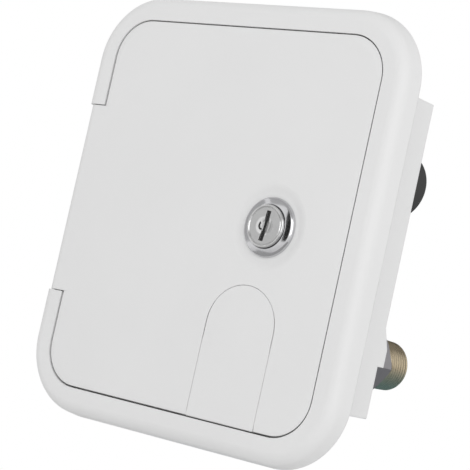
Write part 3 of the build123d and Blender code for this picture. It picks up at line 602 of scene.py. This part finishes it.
def thread_rows(y_low, y_high, pitch, depth, crest, root_outward, columns, fade_low, fade_high):
    """Rows of a right-hand thread along Y. Each row follows the helix, so its depth below the
    crest is one value of a trapezoid, and it fades to the crest over a length at each end."""
    # Shares of one pitch: crest to 0.07, flank to 0.43, root to 0.57 and flank to 0.93.
    phases = np.array([0.0, 0.07, 0.25, 0.43, 0.5, 0.57, 0.75, 0.93])
    cut = np.interp(phases, [0.0, 0.07, 0.43, 0.57, 0.93, 1.0], [0, 0, 1, 1, 0, 0])
    turns = math.ceil((y_high - y_low) / pitch) + 1
    start = (np.arange(turns)[:, None] + phases[None, :]).ravel() * pitch
    fall = np.tile(cut, turns)
    angle = round_table(columns)
    along = y_low + start[:, None] - pitch * angle[None, :] / (2 * np.pi)
    along = np.clip(along, y_low, y_high)
    low = np.clip((along - y_low) / fade_low, 0, 1) if fade_low else 1.0
    high = np.clip((y_high - along) / fade_high, 0, 1) if fade_high else 1.0
    sign = 1 if root_outward else -1
    radius = crest + sign * depth * fall[:, None] * np.minimum(low, high)
    return np.stack([radius, along], axis=-1)


def turned(rows, axis, angle):
    """Rows of (radius, depth) over the angle, carried round an axis along Y."""
    x = axis[0] + rows[..., 0] * np.cos(angle)
    z = axis[1] + rows[..., 0] * np.sin(angle)
    return np.stack([x, rows[..., 1], z], axis=-1)


def lathe_mesh(name, rows, axis, crease=30.0):
    """A closed section, rows of (radius, depth) over the angle, carried round an axis along Y."""
    rows = np.concatenate([rows, rows[:1]])
    return grid_mesh(name, turned(rows, axis, round_table(rows.shape[1] - 1)), crease)


def arc_points(centre, radius_x, radius_y, start, end, count):
    """Points on an ellipse's arc in (radius, depth), between two angles in degrees."""
    turn = np.radians(np.linspace(start, end, count))
    across = centre[0] + radius_x * np.cos(turn)
    down = centre[1] + radius_y * np.sin(turn)
    return np.stack([across, down], axis=-1)


class WATERINLET_OT_mouldings(bpy.types.Operator):
    """Finish the white flange, box, door and flap, and the fine edges that their gaps show"""

    bl_idname = "water_inlet.mouldings"
    bl_label = "White mouldings"

    def execute(self, context):
        size = sizes()
        white = white_moulding()
        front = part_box("flange")[0].y
        corner = size.opening_corner
        core = np.array([size.opening_width / 2 - corner, size.opening_height / 2 - corner])
        flap_low, flap_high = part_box("hose_flap")
        flap_half = (flap_high.x - flap_low.x) / 2
        flap_core_low = np.array([(flap_low.x + flap_high.x) / 2, flap_low.z - flap_half])
        flap_core_high = np.array([flap_core_low[0], flap_high.z - flap_half])

        def sharp_opening(mesh):
            shift_rim(mesh, -core, core, front, corner + size.opening_bevel, -size.opening_bevel)

        def round_door(mesh):
            depth = front + size.door_bevel_depth
            margin = 0.01 * MM
            raise_top(mesh, core[1] + margin, depth + margin, size.door_rise)
            top = core + (0, size.door_rise)
            round_rim(mesh, -core, top, depth, corner - size.door_gap, size.door_edge)

        def close_flap(mesh):
            pin = flap_core_high[1]
            cut_across(mesh, (pin - size.flap_play, pin - size.flap_play - size.flap_fade))
            shift_rim(
                mesh, flap_core_low, flap_core_high, front, flap_half, size.flap_fit,
                level=pin, still=size.flap_play, fade=size.flap_fade,
            )

        refine("flange", white, "white_plastic", shape=sharp_opening)
        refine("box", white, "white_plastic")
        refine("door_panel", white, "white_plastic", shape=round_door)
        refine("hose_flap", white, "white_plastic", shape=close_flap)
        return {"FINISHED"}


class WATERINLET_OT_seal(bpy.types.Operator):
    """Lay the door's seal: a rounded bulb on a flat foot, carried round a rounded rectangle"""

    bl_idname = "water_inlet.seal"
    bl_label = "Door seal"

    def execute(self, context):
        low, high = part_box("door_seal")
        half = sizes().seal_width / 2
        corner = sizes().seal_corner - half
        centre = (low + high) / 2
        reach_x = (high.x - low.x) / 2 - half - corner
        reach_z = (high.z - low.z) / 2 - half - corner
        # Each quarter of the turn belongs to one corner, and the straight sides join them.
        corner_x = np.array([1, -1, -1, 1])
        corner_z = np.array([1, 1, -1, -1])
        steps = np.concatenate([np.radians(np.linspace(90 * q, 90 * q + 90, 13)) for q in range(4)])
        side = np.repeat(np.arange(4), 13)
        out = np.stack([np.cos(steps), np.sin(steps)], axis=-1)
        line = np.stack([corner_x[side] * reach_x, corner_z[side] * reach_z], axis=-1) + corner * out
        line = np.concatenate([line, line[:1]])
        out = np.concatenate([out, out[:1]])
        # The section is a squarish half round, and a flat foot with three points across it.
        bulb = np.radians(np.linspace(0, 180, 17))
        height = high.y - low.y
        across = np.concatenate([half * np.cos(bulb), [-half * 0.55, 0, half * 0.55]])
        depth = np.concatenate([high.y - height * np.sin(bulb) ** 0.8, [high.y] * 3])
        across = np.append(across, across[0])
        depth = np.append(depth, depth[0])
        flat = line[None] + across[:, None, None] * out[None]
        y = np.repeat(depth[:, None], len(line), axis=1)
        points = np.stack([centre.x + flat[..., 0], y, centre.z + flat[..., 1]], axis=-1)
        mesh = grid_mesh("door_seal_bulb", points, 40)
        link_piece("door_seal_bulb", mesh, seal_rubber(), "frame", "seal_rubber", "door_seal")
        return {"FINISHED"}


class WATERINLET_OT_lock(bpy.types.Operator):
    """Finish the lock: the bezel with its threaded body, the plug, and the parts behind"""

    bl_idname = "water_inlet.lock"
    bl_label = "Lock"

    def execute(self, context):
        size = sizes()
        low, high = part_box("lock_housing")
        axis = axis_of("lock_housing")
        outer = (high.x - low.x) / 2
        columns = 192
        rim = low.y
        back = rim + size.bezel_thickness
        floor = rim + size.seat_depth
        # A cone rises from the rolled edge to a rounded lip round the plug's head.
        plug_low, plug_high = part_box("lock_plug")
        lip = (plug_high.x - plug_low.x) / 2 + size.lip_gap
        edge = back - size.bezel_edge
        roll_centre = (outer - size.bezel_roll, edge)
        roll = arc_points(roll_centre, size.bezel_roll, size.roll_depth, 294, 360, 17)
        turn = size.lip_round
        lip_front = roll[0, 1] - size.cone_rise
        corner = arc_points((lip + turn, lip_front + turn), turn, turn, 180, 290, 9)
        seat = [(size.lock_bore, back), (size.lock_bore, floor), (lip, floor)]
        bezel = plain_rows(np.concatenate([seat, corner, roll, [(outer, back)]]), columns)
        thread = thread_rows(
            back, high.y, size.lock_pitch, size.lock_depth, size.lock_body, False, columns,
            0, size.lock_chamfer,
        )
        # The chamfer at 45 degrees and the two flats cut the thread off where they are nearer.
        chamfer = size.lock_body - np.clip(thread[..., 1] - (high.y - size.lock_chamfer), 0, None)
        flat = size.lock_half_flats / np.maximum(np.abs(np.cos(round_table(columns))), TINY)
        thread[..., 0] = np.minimum(np.minimum(thread[..., 0], chamfer), flat[None, :])
        inner = plain_rows([(size.lock_bore, high.y), (size.lock_bore, back)], columns)
        rows = np.concatenate([bezel, thread, inner])
        mesh = lathe_mesh("lock_bezel_and_body", rows, axis)
        link_piece("lock_bezel_and_body", mesh, chrome(), "door", "lock_chrome", "lock_housing")
        self.plug(axis)
        plate = zinc_plate()
        for node in ("lock_washer", "lock_nut", "lock_cam", "cam_screw"):
            refine(node, plate, "zinc_steel")
        return {"FINISHED"}

    def plug(self, axis):
        """Rows run from the middle of the keyway's floor out over the face and down the side. The
        keyway's edge at an angle is the nearer of its side and its end, and each row of the face
        that would lie inside it is moved out onto it. The tail is square in the same way. The
        dimple falls towards its floor as a power of the way in, steepest at the floor."""
        size = sizes()
        low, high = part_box("lock_plug")
        outer = (high.x - low.x) / 2
        half_width, half_height = size.keyway_width / 2, size.keyway_height / 2
        lean = size.keyway_lean
        corner = math.atan2(half_height, half_width)
        corners = np.array([corner, np.pi - corner, np.pi + corner, 2 * np.pi - corner]) - lean
        square = np.pi / 4 + np.arange(4) * np.pi / 2
        angle = np.unique(np.concatenate([np.linspace(0, 2 * np.pi, 241), corners, square]))
        cos, sin = np.abs(np.cos(angle)), np.abs(np.sin(angle))
        across, upright = np.abs(np.cos(angle + lean)), np.abs(np.sin(angle + lean))
        edge = np.minimum(
            half_width / np.maximum(across, TINY), half_height / np.maximum(upright, TINY)
        )

        def ring(radius, depth):
            """One row of points. Either value is one number, or one number for each angle."""
            radius, depth, _ = np.broadcast_arrays(radius, depth, angle)
            return np.stack([radius, depth], axis=-1)[None]

        face = low.y + size.plug_recess
        dimple = face + size.dimple_depth
        rim_in = outer - size.plug_rim
        groove_across = np.linspace(rim_in - size.groove_width, rim_in, 9)
        groove_down = face + size.groove_depth * np.sin(np.linspace(0, np.pi, 9))
        crown = (outer + rim_in) / 2
        way_in = np.linspace(1, 0, 15)
        steepness = 2.4
        trumpet_across = size.dimple_rim + (size.dimple_floor - size.dimple_rim) * way_in
        trumpet_down = face + size.dimple_depth * way_in**steepness
        turn = size.rim_round
        section = np.concatenate(
            [
                [(0, dimple)],
                np.stack([trumpet_across, trumpet_down], axis=-1),
                np.stack([groove_across, groove_down], axis=-1),
                arc_points((crown, face), crown - rim_in, face - low.y, 180, 270, 7)[1:],
                arc_points((crown, low.y + turn), outer - crown, turn, 270, 360, 9)[1:],
            ]
        )
        radius = np.maximum(section[:, :1], edge[None, :])
        depth = np.interp(radius, section[:, 0], section[:, 1])
        floor = low.y + size.keyway_depth
        side = low.y + size.plug_head
        tail = size.tail_half / np.maximum(cos, sin)
        tail_start = high.y - size.tail_length
        bottom = high.y - size.tail_bore_length
        rows = np.concatenate(
            [
                ring(0.0, floor),
                ring(edge, floor),
                np.stack([radius, depth], axis=-1),
                ring(outer, side),
                ring(size.plug_shaft, side),
                ring(size.plug_shaft, tail_start),
                ring(tail, tail_start),
                ring(tail, high.y),
                ring(size.tail_bore, high.y),
                ring(size.tail_bore, bottom),
                ring(0.0, bottom),
            ]
        )
        mesh = grid_mesh("lock_plug_turned", turned(rows, axis, angle), 14)
        # Satin nickel on brass: a bright face with fine rings, and a darker colour in the keyway that
        # starts 0.1 mm behind the dimple's floor and is full 0.5 mm further in.
        metal = turned_metal(
            "brass_plug_satin_nickel", colours().plug, axis, 0.35 * MM, 0.0008 * MM, (0.1, 0.15),
            6 * MM, 0.04, colour_fade=("Y", colours().keyway, dimple + 0.1 * MM, 0.5 * MM),
        )
        link_piece("lock_plug_turned", mesh, metal, "lock", "lock_chrome", "lock_plug")


class WATERINLET_OT_inlet(bpy.types.Operator):
    """Finish the water inlet: nipple with its pipe thread, valve body, poppet, tube and locknut"""

    bl_idname = "water_inlet.inlet"
    bl_label = "Inlet and thread"

    def execute(self, context):
        size = sizes()
        low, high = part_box("outlet_nipple")
        axis = axis_of("outlet_nipple")
        crest = (high.x - low.x) / 2
        shoulder = low.y + size.nipple_spigot_length
        columns = 128
        spigot = plain_rows(
            [
                (size.nipple_chamber, low.y),
                (size.nipple_spigot, low.y),
                (size.nipple_spigot, shoulder),
                (crest, shoulder),
            ],
            columns,
        )
        thread = thread_rows(
            shoulder, high.y, size.pipe_pitch, size.pipe_depth, crest, False, columns,
            size.pipe_run_out, 0,
        )
        # The end is chamfered down to the root. The thread narrows towards it by 0.6 of a pipe
        # thread's taper, which is 1 in 32 on the radius.
        slope, taper = 1.15, 0.6 / 32
        chamfer = crest - np.clip(thread[..., 1] - (high.y - size.pipe_depth), 0, None) * slope
        narrowed = thread[..., 0] - (thread[..., 1] - shoulder) * taper
        thread[..., 0] = np.minimum(narrowed, chamfer)
        retainer = high.y - size.retainer_end
        bore = plain_rows(
            [
                (size.nipple_bore + size.bore_chamfer, high.y),
                (size.nipple_bore, high.y - size.bore_chamfer),
                (size.nipple_bore, retainer),
                (size.nipple_chamber, retainer),
            ],
            columns,
        )
        root = crest - size.pipe_depth
        # Dulled brass with painted shade in the thread's roots, whose two radii lie round the root.
        # Towards the bottom it turns teal and darker, partly tarnish and partly a painted reflection,
        # which starts 0.5 mm below the axis and is full 8 mm further down.
        threaded = turned_metal(
            "brass_threaded_dulled", colours().dull_brass, axis, 0.5 * MM, 0.003 * MM, (0.24, 0.36),
            4 * MM, 0.16, painted_root_shade=(colours().painted_root_shade, root - 0.3 * MM, root + 0.5 * MM),
            colour_fade=("Z", colours().tarnish_and_painted_reflection, axis[1] - 0.5 * MM, -8 * MM),
        )
        mesh = lathe_mesh("nipple_pipe_thread", np.concatenate([spigot, thread, bore]), axis)
        link_piece("nipple_pipe_thread", mesh, threaded, "frame", "brass", "outlet_nipple")
        # Old brass: a soft yellow sheen in uneven patches.
        brass = turned_metal(
            "brass_turned_dulled", colours().brass, axis, 0.5 * MM, 0.004 * MM, (0.3, 0.45),
            4 * MM, 0.22,
        )
        # Dull nickel on brass: a cool grey with a broad soft highlight.
        nickel = turned_metal(
            "brass_turned_dull_nickel", colours().nickel, axis, 0.5 * MM, 0.003 * MM, (0.34, 0.48),
            7 * MM, 0.08,
        )
        for node in ("valve_body", "inlet_locknut"):
            refine(node, nickel, "nickel_brass")
        for node in ("inlet_tube", "valve_poppet"):
            refine(node, brass, "brass")
        return {"FINISHED"}


class WATERINLET_OT_hose_side(bpy.types.Operator):
    """Finish what the hose screws to: the swivel with its thread, and its woven screen"""

    bl_idname = "water_inlet.hose_side"
    bl_label = "Hose swivel and screen"

    def execute(self, context):
        self.swivel()
        self.screen()
        return {"FINISHED"}

    def swivel(self):
        """The outside is the nearer of a round body and eight scallops, each part of a circle
        beside it. The inside is a helix cut outwards from its crests."""
        size = sizes()
        low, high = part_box("hose_swivel")
        axis = axis_of("hose_swivel")
        outer = (high.x - low.x) / 2
        columns = 192
        scallops = 8
        # Each circle's centre stands outside the body by 0.45 of its radius.
        reach = outer + 0.45 * size.scallop_radius
        step = 2 * np.pi / scallops
        off = (round_table(columns) % step) - step / 2
        inside = size.scallop_radius**2 - (reach * np.sin(off)) ** 2
        bite = reach * np.cos(off) - np.sqrt(np.clip(inside, 0, None))
        scalloped = np.minimum(np.where(inside > 0, bite, outer), outer)
        turn = size.swivel_round
        edge = arc_points((outer - turn, low.y + turn), turn, turn, 270, 360, 6)
        mouth_edge = size.hose_crest + size.mouth_chamfer
        lip = plain_rows(np.concatenate([[(mouth_edge, low.y)], edge]), columns)
        front = low.y + size.swivel_band
        back = high.y - size.swivel_chamfer
        band = plain_rows([(outer, front), (outer, front), (outer, back)], columns)
        band[1:, :, 0] = scalloped
        rear = plain_rows(
            [(outer - size.swivel_chamfer, high.y), (size.swivel_bore, high.y)], columns
        )
        wall = high.y - size.swivel_back_wall
        thread_end = low.y + size.hose_thread_length
        chamber = plain_rows(
            [
                (size.swivel_bore, wall),
                (size.swivel_chamber, wall),
                (size.swivel_chamber, thread_end),
                (size.hose_crest, thread_end),
            ],
            columns,
        )
        thread = thread_rows(
            low.y, thread_end, size.hose_pitch, size.hose_depth, size.hose_crest, True, columns,
            0, size.hose_run_out,
        )[::-1]
        # A chamfer at 45 degrees widens the mouth, and its edge lies in the front face.
        mouth = mouth_edge - np.clip(thread[..., 1] - low.y, 0, size.mouth_chamfer)
        first = thread[..., 1] <= low.y + TINY
        thread[..., 0] = np.where(first, mouth_edge, np.maximum(thread[..., 0], mouth))
        # Handled brass: brighter than the tube, with fine rings.
        brass = turned_metal(
            "brass_turned_swivel", colours().brass, axis, 0.5 * MM, 0.003 * MM, (0.22, 0.34),
            5 * MM, 0.12,
        )
        rows = np.concatenate([lip, band, rear, chamber, thread])
        mesh = lathe_mesh("hose_swivel_threaded", rows, axis)
        link_piece("hose_swivel_threaded", mesh, brass, "swivel", "brass", "hose_swivel")

    def screen(self):
        """Each wire is a sine along its length, and wires beside and across it are half a wave
        apart, so that they pass over and under. A turned rim holds their ends."""
        size = sizes()
        low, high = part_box("filter_screen")
        axis = axis_of("filter_screen")
        outer = (high.x - low.x) / 2
        middle = (low.y + high.y) / 2
        clear = outer - size.screen_rim
        count = int(clear / size.wire_pitch)
        offset = np.arange(-count, count + 1) * size.wire_pitch
        half = np.sqrt(clear**2 - offset**2)
        along = np.linspace(-1, 1, 97)[None, :] * half[:, None]
        phase = np.where(np.arange(-count, count + 1) % 2, 0, np.pi)[:, None]
        rise = size.wire_radius * np.cos(np.pi * along / size.wire_pitch + phase)
        turn = np.radians(np.linspace(0, 360, 7))
        wide = size.wire_radius * np.cos(turn)[None, None, :]
        deep = size.wire_radius * np.sin(turn)[None, None, :]
        steel = drawn_steel("stainless_woven_wire", (0.22, 0.34), (1, 1, 1))
        parts = []
        for upright, sign in ((False, 1), (True, -1)):
            side = offset[:, None, None] + wide + 0 * along[:, :, None]
            run = along[:, :, None] + 0 * wide
            depth = middle + sign * rise[:, :, None] + deep
            first, second = (run, side) if upright else (side, run)
            parts.append(np.stack([axis[0] + first, depth, axis[1] + second], axis=-1))
        mesh = grid_mesh("screen_wires", np.concatenate(parts), 60)
        # The rim is a flat ring with rounded edges, and laps the wires' ends by 0.1 mm.
        turn = size.screen_round
        rim_section = np.concatenate(
            [
                arc_points((outer - turn, middle), turn, turn, -90, 90, 7),
                arc_points((clear + turn - 0.1 * MM, middle), turn, turn, 90, 270, 7),
            ]
        )
        rim_mesh = lathe_mesh("screen_rim", plain_rows(rim_section, 96), axis, 50)
        link_piece("screen_wires", mesh, steel, "swivel", "stainless", "filter_screen")
        link_piece("screen_rim", rim_mesh, steel, "swivel", "stainless", "filter_screen")


class WATERINLET_OT_neck(bpy.types.Operator):
    """Finish the black mouldings: the filling neck, its cap and the spring retainer"""

    bl_idname = "water_inlet.neck"
    bl_label = "Filling neck and cap"

    def execute(self, context):
        black = black_moulding()
        for node in ("fill_neck", "fill_cap", "spring_retainer"):
            refine(node, black, "black_plastic")
        return {"FINISHED"}


class WATERINLET_OT_small_parts(bpy.types.Operator):
    """Finish the pins, screws, spring and flat washers"""

    bl_idname = "water_inlet.small_parts"
    bl_label = "Pins, screws and washers"

    def execute(self, context):
        rubber = seal_rubber()
        for node in ("inlet_washer", "poppet_seal", "hose_washer", "neck_gasket", "cap_gasket"):
            refine(node, rubber, "seal_rubber")
        rod = drawn_steel("stainless_drawn_rod", (0.2, 0.32), (1, 1, 0.05))
        for node in ("hinge_pin", "flap_pin", "neck_screws"):
            refine(node, rod, "stainless")
        spring = refine("valve_spring", rod, "stainless")
        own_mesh(spring)
        return {"FINISHED"}


# Each card's name, azimuth and elevation in degrees, distance, width and height in metres,
# strength and tint.
CARDS = (
    ("left_card", -40, 5, 1.0, 0.5, 0.6, 0.66, "#FFFFFF"),
    ("far_left_card", -92, 0, 1.0, 1.5, 1.4, 0.55, "#FFFFFF"),
    ("dark_card", 5, 12, 1.0, 0.3, 1.0, 0.02, "#FFFFFF"),
    ("ceiling_card", 0, 84, 1.0, 2.1, 2.1, 0.55, "#FFFFFF"),
    ("under_card", 180, -88, 0.235, 0.8, 0.8, 0.44, "#FFFFFF"),
    ("low_back_card", 195, -27, 0.352, 0.32, 0.2, 0.2, "#3FB4E8"),
    ("high_back_card", 194, 25, 0.59, 0.5, 0.4, 0.18, "#D8E8E8"),
)

# Each lamp's name, place and size in metres, and power in watts.
LAMPS = (
    ("key_lamp", (1.15, -1.0, 0.35), 1.2, 6.4),
    ("left_lamp", (-1.1, -1.0, 0.2), 1.2, 0.6),
)


def card(name, azimuth, elevation, distance, width, height, strength, tint):
    """A flat studio card that faces the hatch and is seen only in glossy surfaces. Its azimuth is
    from straight ahead of the hatch towards the right, and its elevation upwards."""
    around, up = math.radians(azimuth), math.radians(elevation)
    centre = distance * Vector(
        (math.sin(around) * math.cos(up), -math.cos(around) * math.cos(up), math.sin(up))
    )
    turn = (-centre).to_track_quat("Z", "Y").to_matrix()
    corners = np.array([(-1, -1, 0), (1, -1, 0), (1, 1, 0), (-1, 1, 0)]) * (width / 2, height / 2, 0)
    mesh = bpy.data.meshes.new(name)
    mesh.from_pydata([tuple(centre + turn @ Vector(c)) for c in corners], [], [(0, 1, 2, 3)])
    piece = put(name, mesh)
    material, tree = empty_material(name)
    light = {"Color": (*linear(tint), 1), "Strength": strength}
    glow = node_in(tree, "ShaderNodeEmission", inputs=light)
    node_in(tree, "ShaderNodeOutputMaterial", links={"Surface": glow.outputs[0]})
    mesh.materials.append(material)
    piece.visible_camera = False
    piece.visible_diffuse = False
    piece.visible_shadow = False
    piece.visible_transmission = False


def lamp(name, place, size, power):
    """A square soft lamp aimed at the hatch."""
    data = bpy.data.lights.new(name, "AREA")
    data.shape = "SQUARE"
    data.size = size
    data.energy = power
    light = put(name, data)
    light.location = place
    light.rotation_euler = (-Vector(place)).to_track_quat("-Z", "Y").to_euler()


class WATERINLET_OT_stage(bpy.types.Operator):
    """Set the pale floor, the white surround, the soft lamps and the camera"""

    bl_idname = "water_inlet.stage"
    bl_label = "Stage"

    def execute(self, context):
        self.camera(context.scene)
        self.surround(context.scene)
        self.floor()
        for values in LAMPS:
            lamp(*values)
        for values in CARDS:
            card(*values)
        context.scene.view_settings.view_transform = "Standard"
        return {"FINISHED"}

    def camera(self, scene):
        """The camera looks from the right, a little from below, and is rolled clockwise."""
        azimuth, elevation, roll = math.radians(38.42), math.radians(-3.92), math.radians(12.50)
        back = Vector(
            (
                math.sin(azimuth) * math.cos(elevation),
                -math.cos(azimuth) * math.cos(elevation),
                math.sin(elevation),
            )
        )
        right = Vector((math.cos(azimuth), math.sin(azimuth), 0))
        up = back.cross(right)
        rolled_right = math.cos(roll) * right + math.sin(roll) * up
        rolled_up = -math.sin(roll) * right + math.cos(roll) * up
        data = bpy.data.cameras.new("camera")
        data.lens = 131.91
        data.sensor_width = 36.0
        data.clip_start = 0.05
        camera = put("camera", data)
        matrix = Matrix((rolled_right, rolled_up, back)).transposed().to_4x4()
        matrix.translation = Vector((0.442108, -0.546805, -0.052254))
        camera.matrix_world = matrix
        scene.camera = camera

    def surround(self, scene):
        """The world is white to camera, glossy and transmission rays, and plain light to others."""
        world = bpy.data.worlds.new("white_surround")
        scene.world = world
        world.use_nodes = True
        tree = world.node_tree
        tree.nodes.clear()
        path = node_in(tree, "ShaderNodeLightPath")
        seen = path.outputs["Is Camera Ray"]
        for ray in ("Is Glossy Ray", "Is Transmission Ray"):
            either = node_in(
                tree,
                "ShaderNodeMath",
                {"operation": "MAXIMUM"},
                links={0: seen, 1: path.outputs[ray]},
            )
            seen = either.outputs[0]
        light = node_in(tree, "ShaderNodeBackground", inputs={"Color": (1, 1, 1, 1), "Strength": 0.75})
        white = node_in(tree, "ShaderNodeBackground", inputs={"Color": (1, 1, 1, 1), "Strength": 1.0})
        mix = node_in(
            tree, "ShaderNodeMixShader", links={0: seen, 1: light.outputs[0], 2: white.outputs[0]}
        )
        node_in(tree, "ShaderNodeOutputWorld", links={"Surface": mix.outputs[0]})

    def floor(self):
        """A round floor well below the hatch, matt near the middle and white towards its rim."""
        drop = 0.16
        angle = round_table(96)
        radius = np.array([1e-6, 0.3, 0.6, 0.9, 1.2])
        x = radius[:, None] * np.cos(angle)
        y = radius[:, None] * np.sin(angle)
        points = np.stack([x, y, np.full_like(x, cad_box[0][2] - drop)], axis=-1)
        mesh = grid_mesh("floor", points, 30)
        floor = put("floor", mesh)
        material, tree = empty_material("floor_matt_paint")
        where = node_in(tree, "ShaderNodeTexCoord").outputs["Object"]
        flat = node_in(tree, "ShaderNodeMapping", inputs={"Scale": (1, 1, 0)}, links={"Vector": where})
        reach = node_in(
            tree, "ShaderNodeVectorMath", {"operation": "LENGTH"}, links={0: flat.outputs[0]}
        )
        fade = node_in(
            tree,
            "ShaderNodeMapRange",
            {"interpolation_type": "SMOOTHSTEP"},
            {"From Min": 0.3, "From Max": 1.0},
            {"Value": reach.outputs["Value"]},
        )
        matt = node_in(
            tree, "ShaderNodeBsdfDiffuse", inputs={"Color": (*colours().floor, 1), "Roughness": 0.5}
        )
        white = node_in(tree, "ShaderNodeEmission", inputs={"Color": (1, 1, 1, 1), "Strength": 1.0})
        mix = node_in(
            tree,
            "ShaderNodeMixShader",
            links={0: fade.outputs[0], 1: matt.outputs[0], 2: white.outputs[0]},
        )
        node_in(tree, "ShaderNodeOutputMaterial", links={"Surface": mix.outputs[0]})
        mesh.materials.append(material)


class WATERINLET_PT_panel(bpy.types.Panel):
    bl_label = "Water inlet hatch"
    bl_idname = "WATERINLET_PT_panel"
    bl_space_type = "VIEW_3D"
    bl_region_type = "UI"
    bl_category = "Water inlet"

    def draw(self, context):
        layout = self.layout
        for group in (context.scene.hatch_sizes, context.scene.hatch_colours):
            box = layout.box()
            for key in group.bl_rna.properties.keys():
                if key not in ("rna_type", "name"):
                    box.prop(group, key)
        for operator in operators:
            layout.operator(operator.bl_idname)


operators = (
    WATERINLET_OT_mouldings,
    WATERINLET_OT_seal,
    WATERINLET_OT_lock,
    WATERINLET_OT_inlet,
    WATERINLET_OT_hose_side,
    WATERINLET_OT_neck,
    WATERINLET_OT_small_parts,
    WATERINLET_OT_stage,
)
classes = (HatchSizes, HatchColours, *operators, WATERINLET_PT_panel)


def register():
    for cls in classes:
        bpy.utils.register_class(cls)
    bpy.types.Scene.hatch_sizes = bpy.props.PointerProperty(type=HatchSizes)
    bpy.types.Scene.hatch_colours = bpy.props.PointerProperty(type=HatchColours)


def unregister():
    del bpy.types.Scene.hatch_sizes
    del bpy.types.Scene.hatch_colours
    for cls in reversed(classes):
        bpy.utils.unregister_class(cls)


def main():
    register()
    bpy.ops.water_inlet.mouldings()
    bpy.ops.water_inlet.seal()
    bpy.ops.water_inlet.lock()
    bpy.ops.water_inlet.inlet()
    bpy.ops.water_inlet.hose_side()
    bpy.ops.water_inlet.neck()
    bpy.ops.water_inlet.small_parts()
    bpy.ops.water_inlet.stage()


if __name__ == "__main__":
    main()
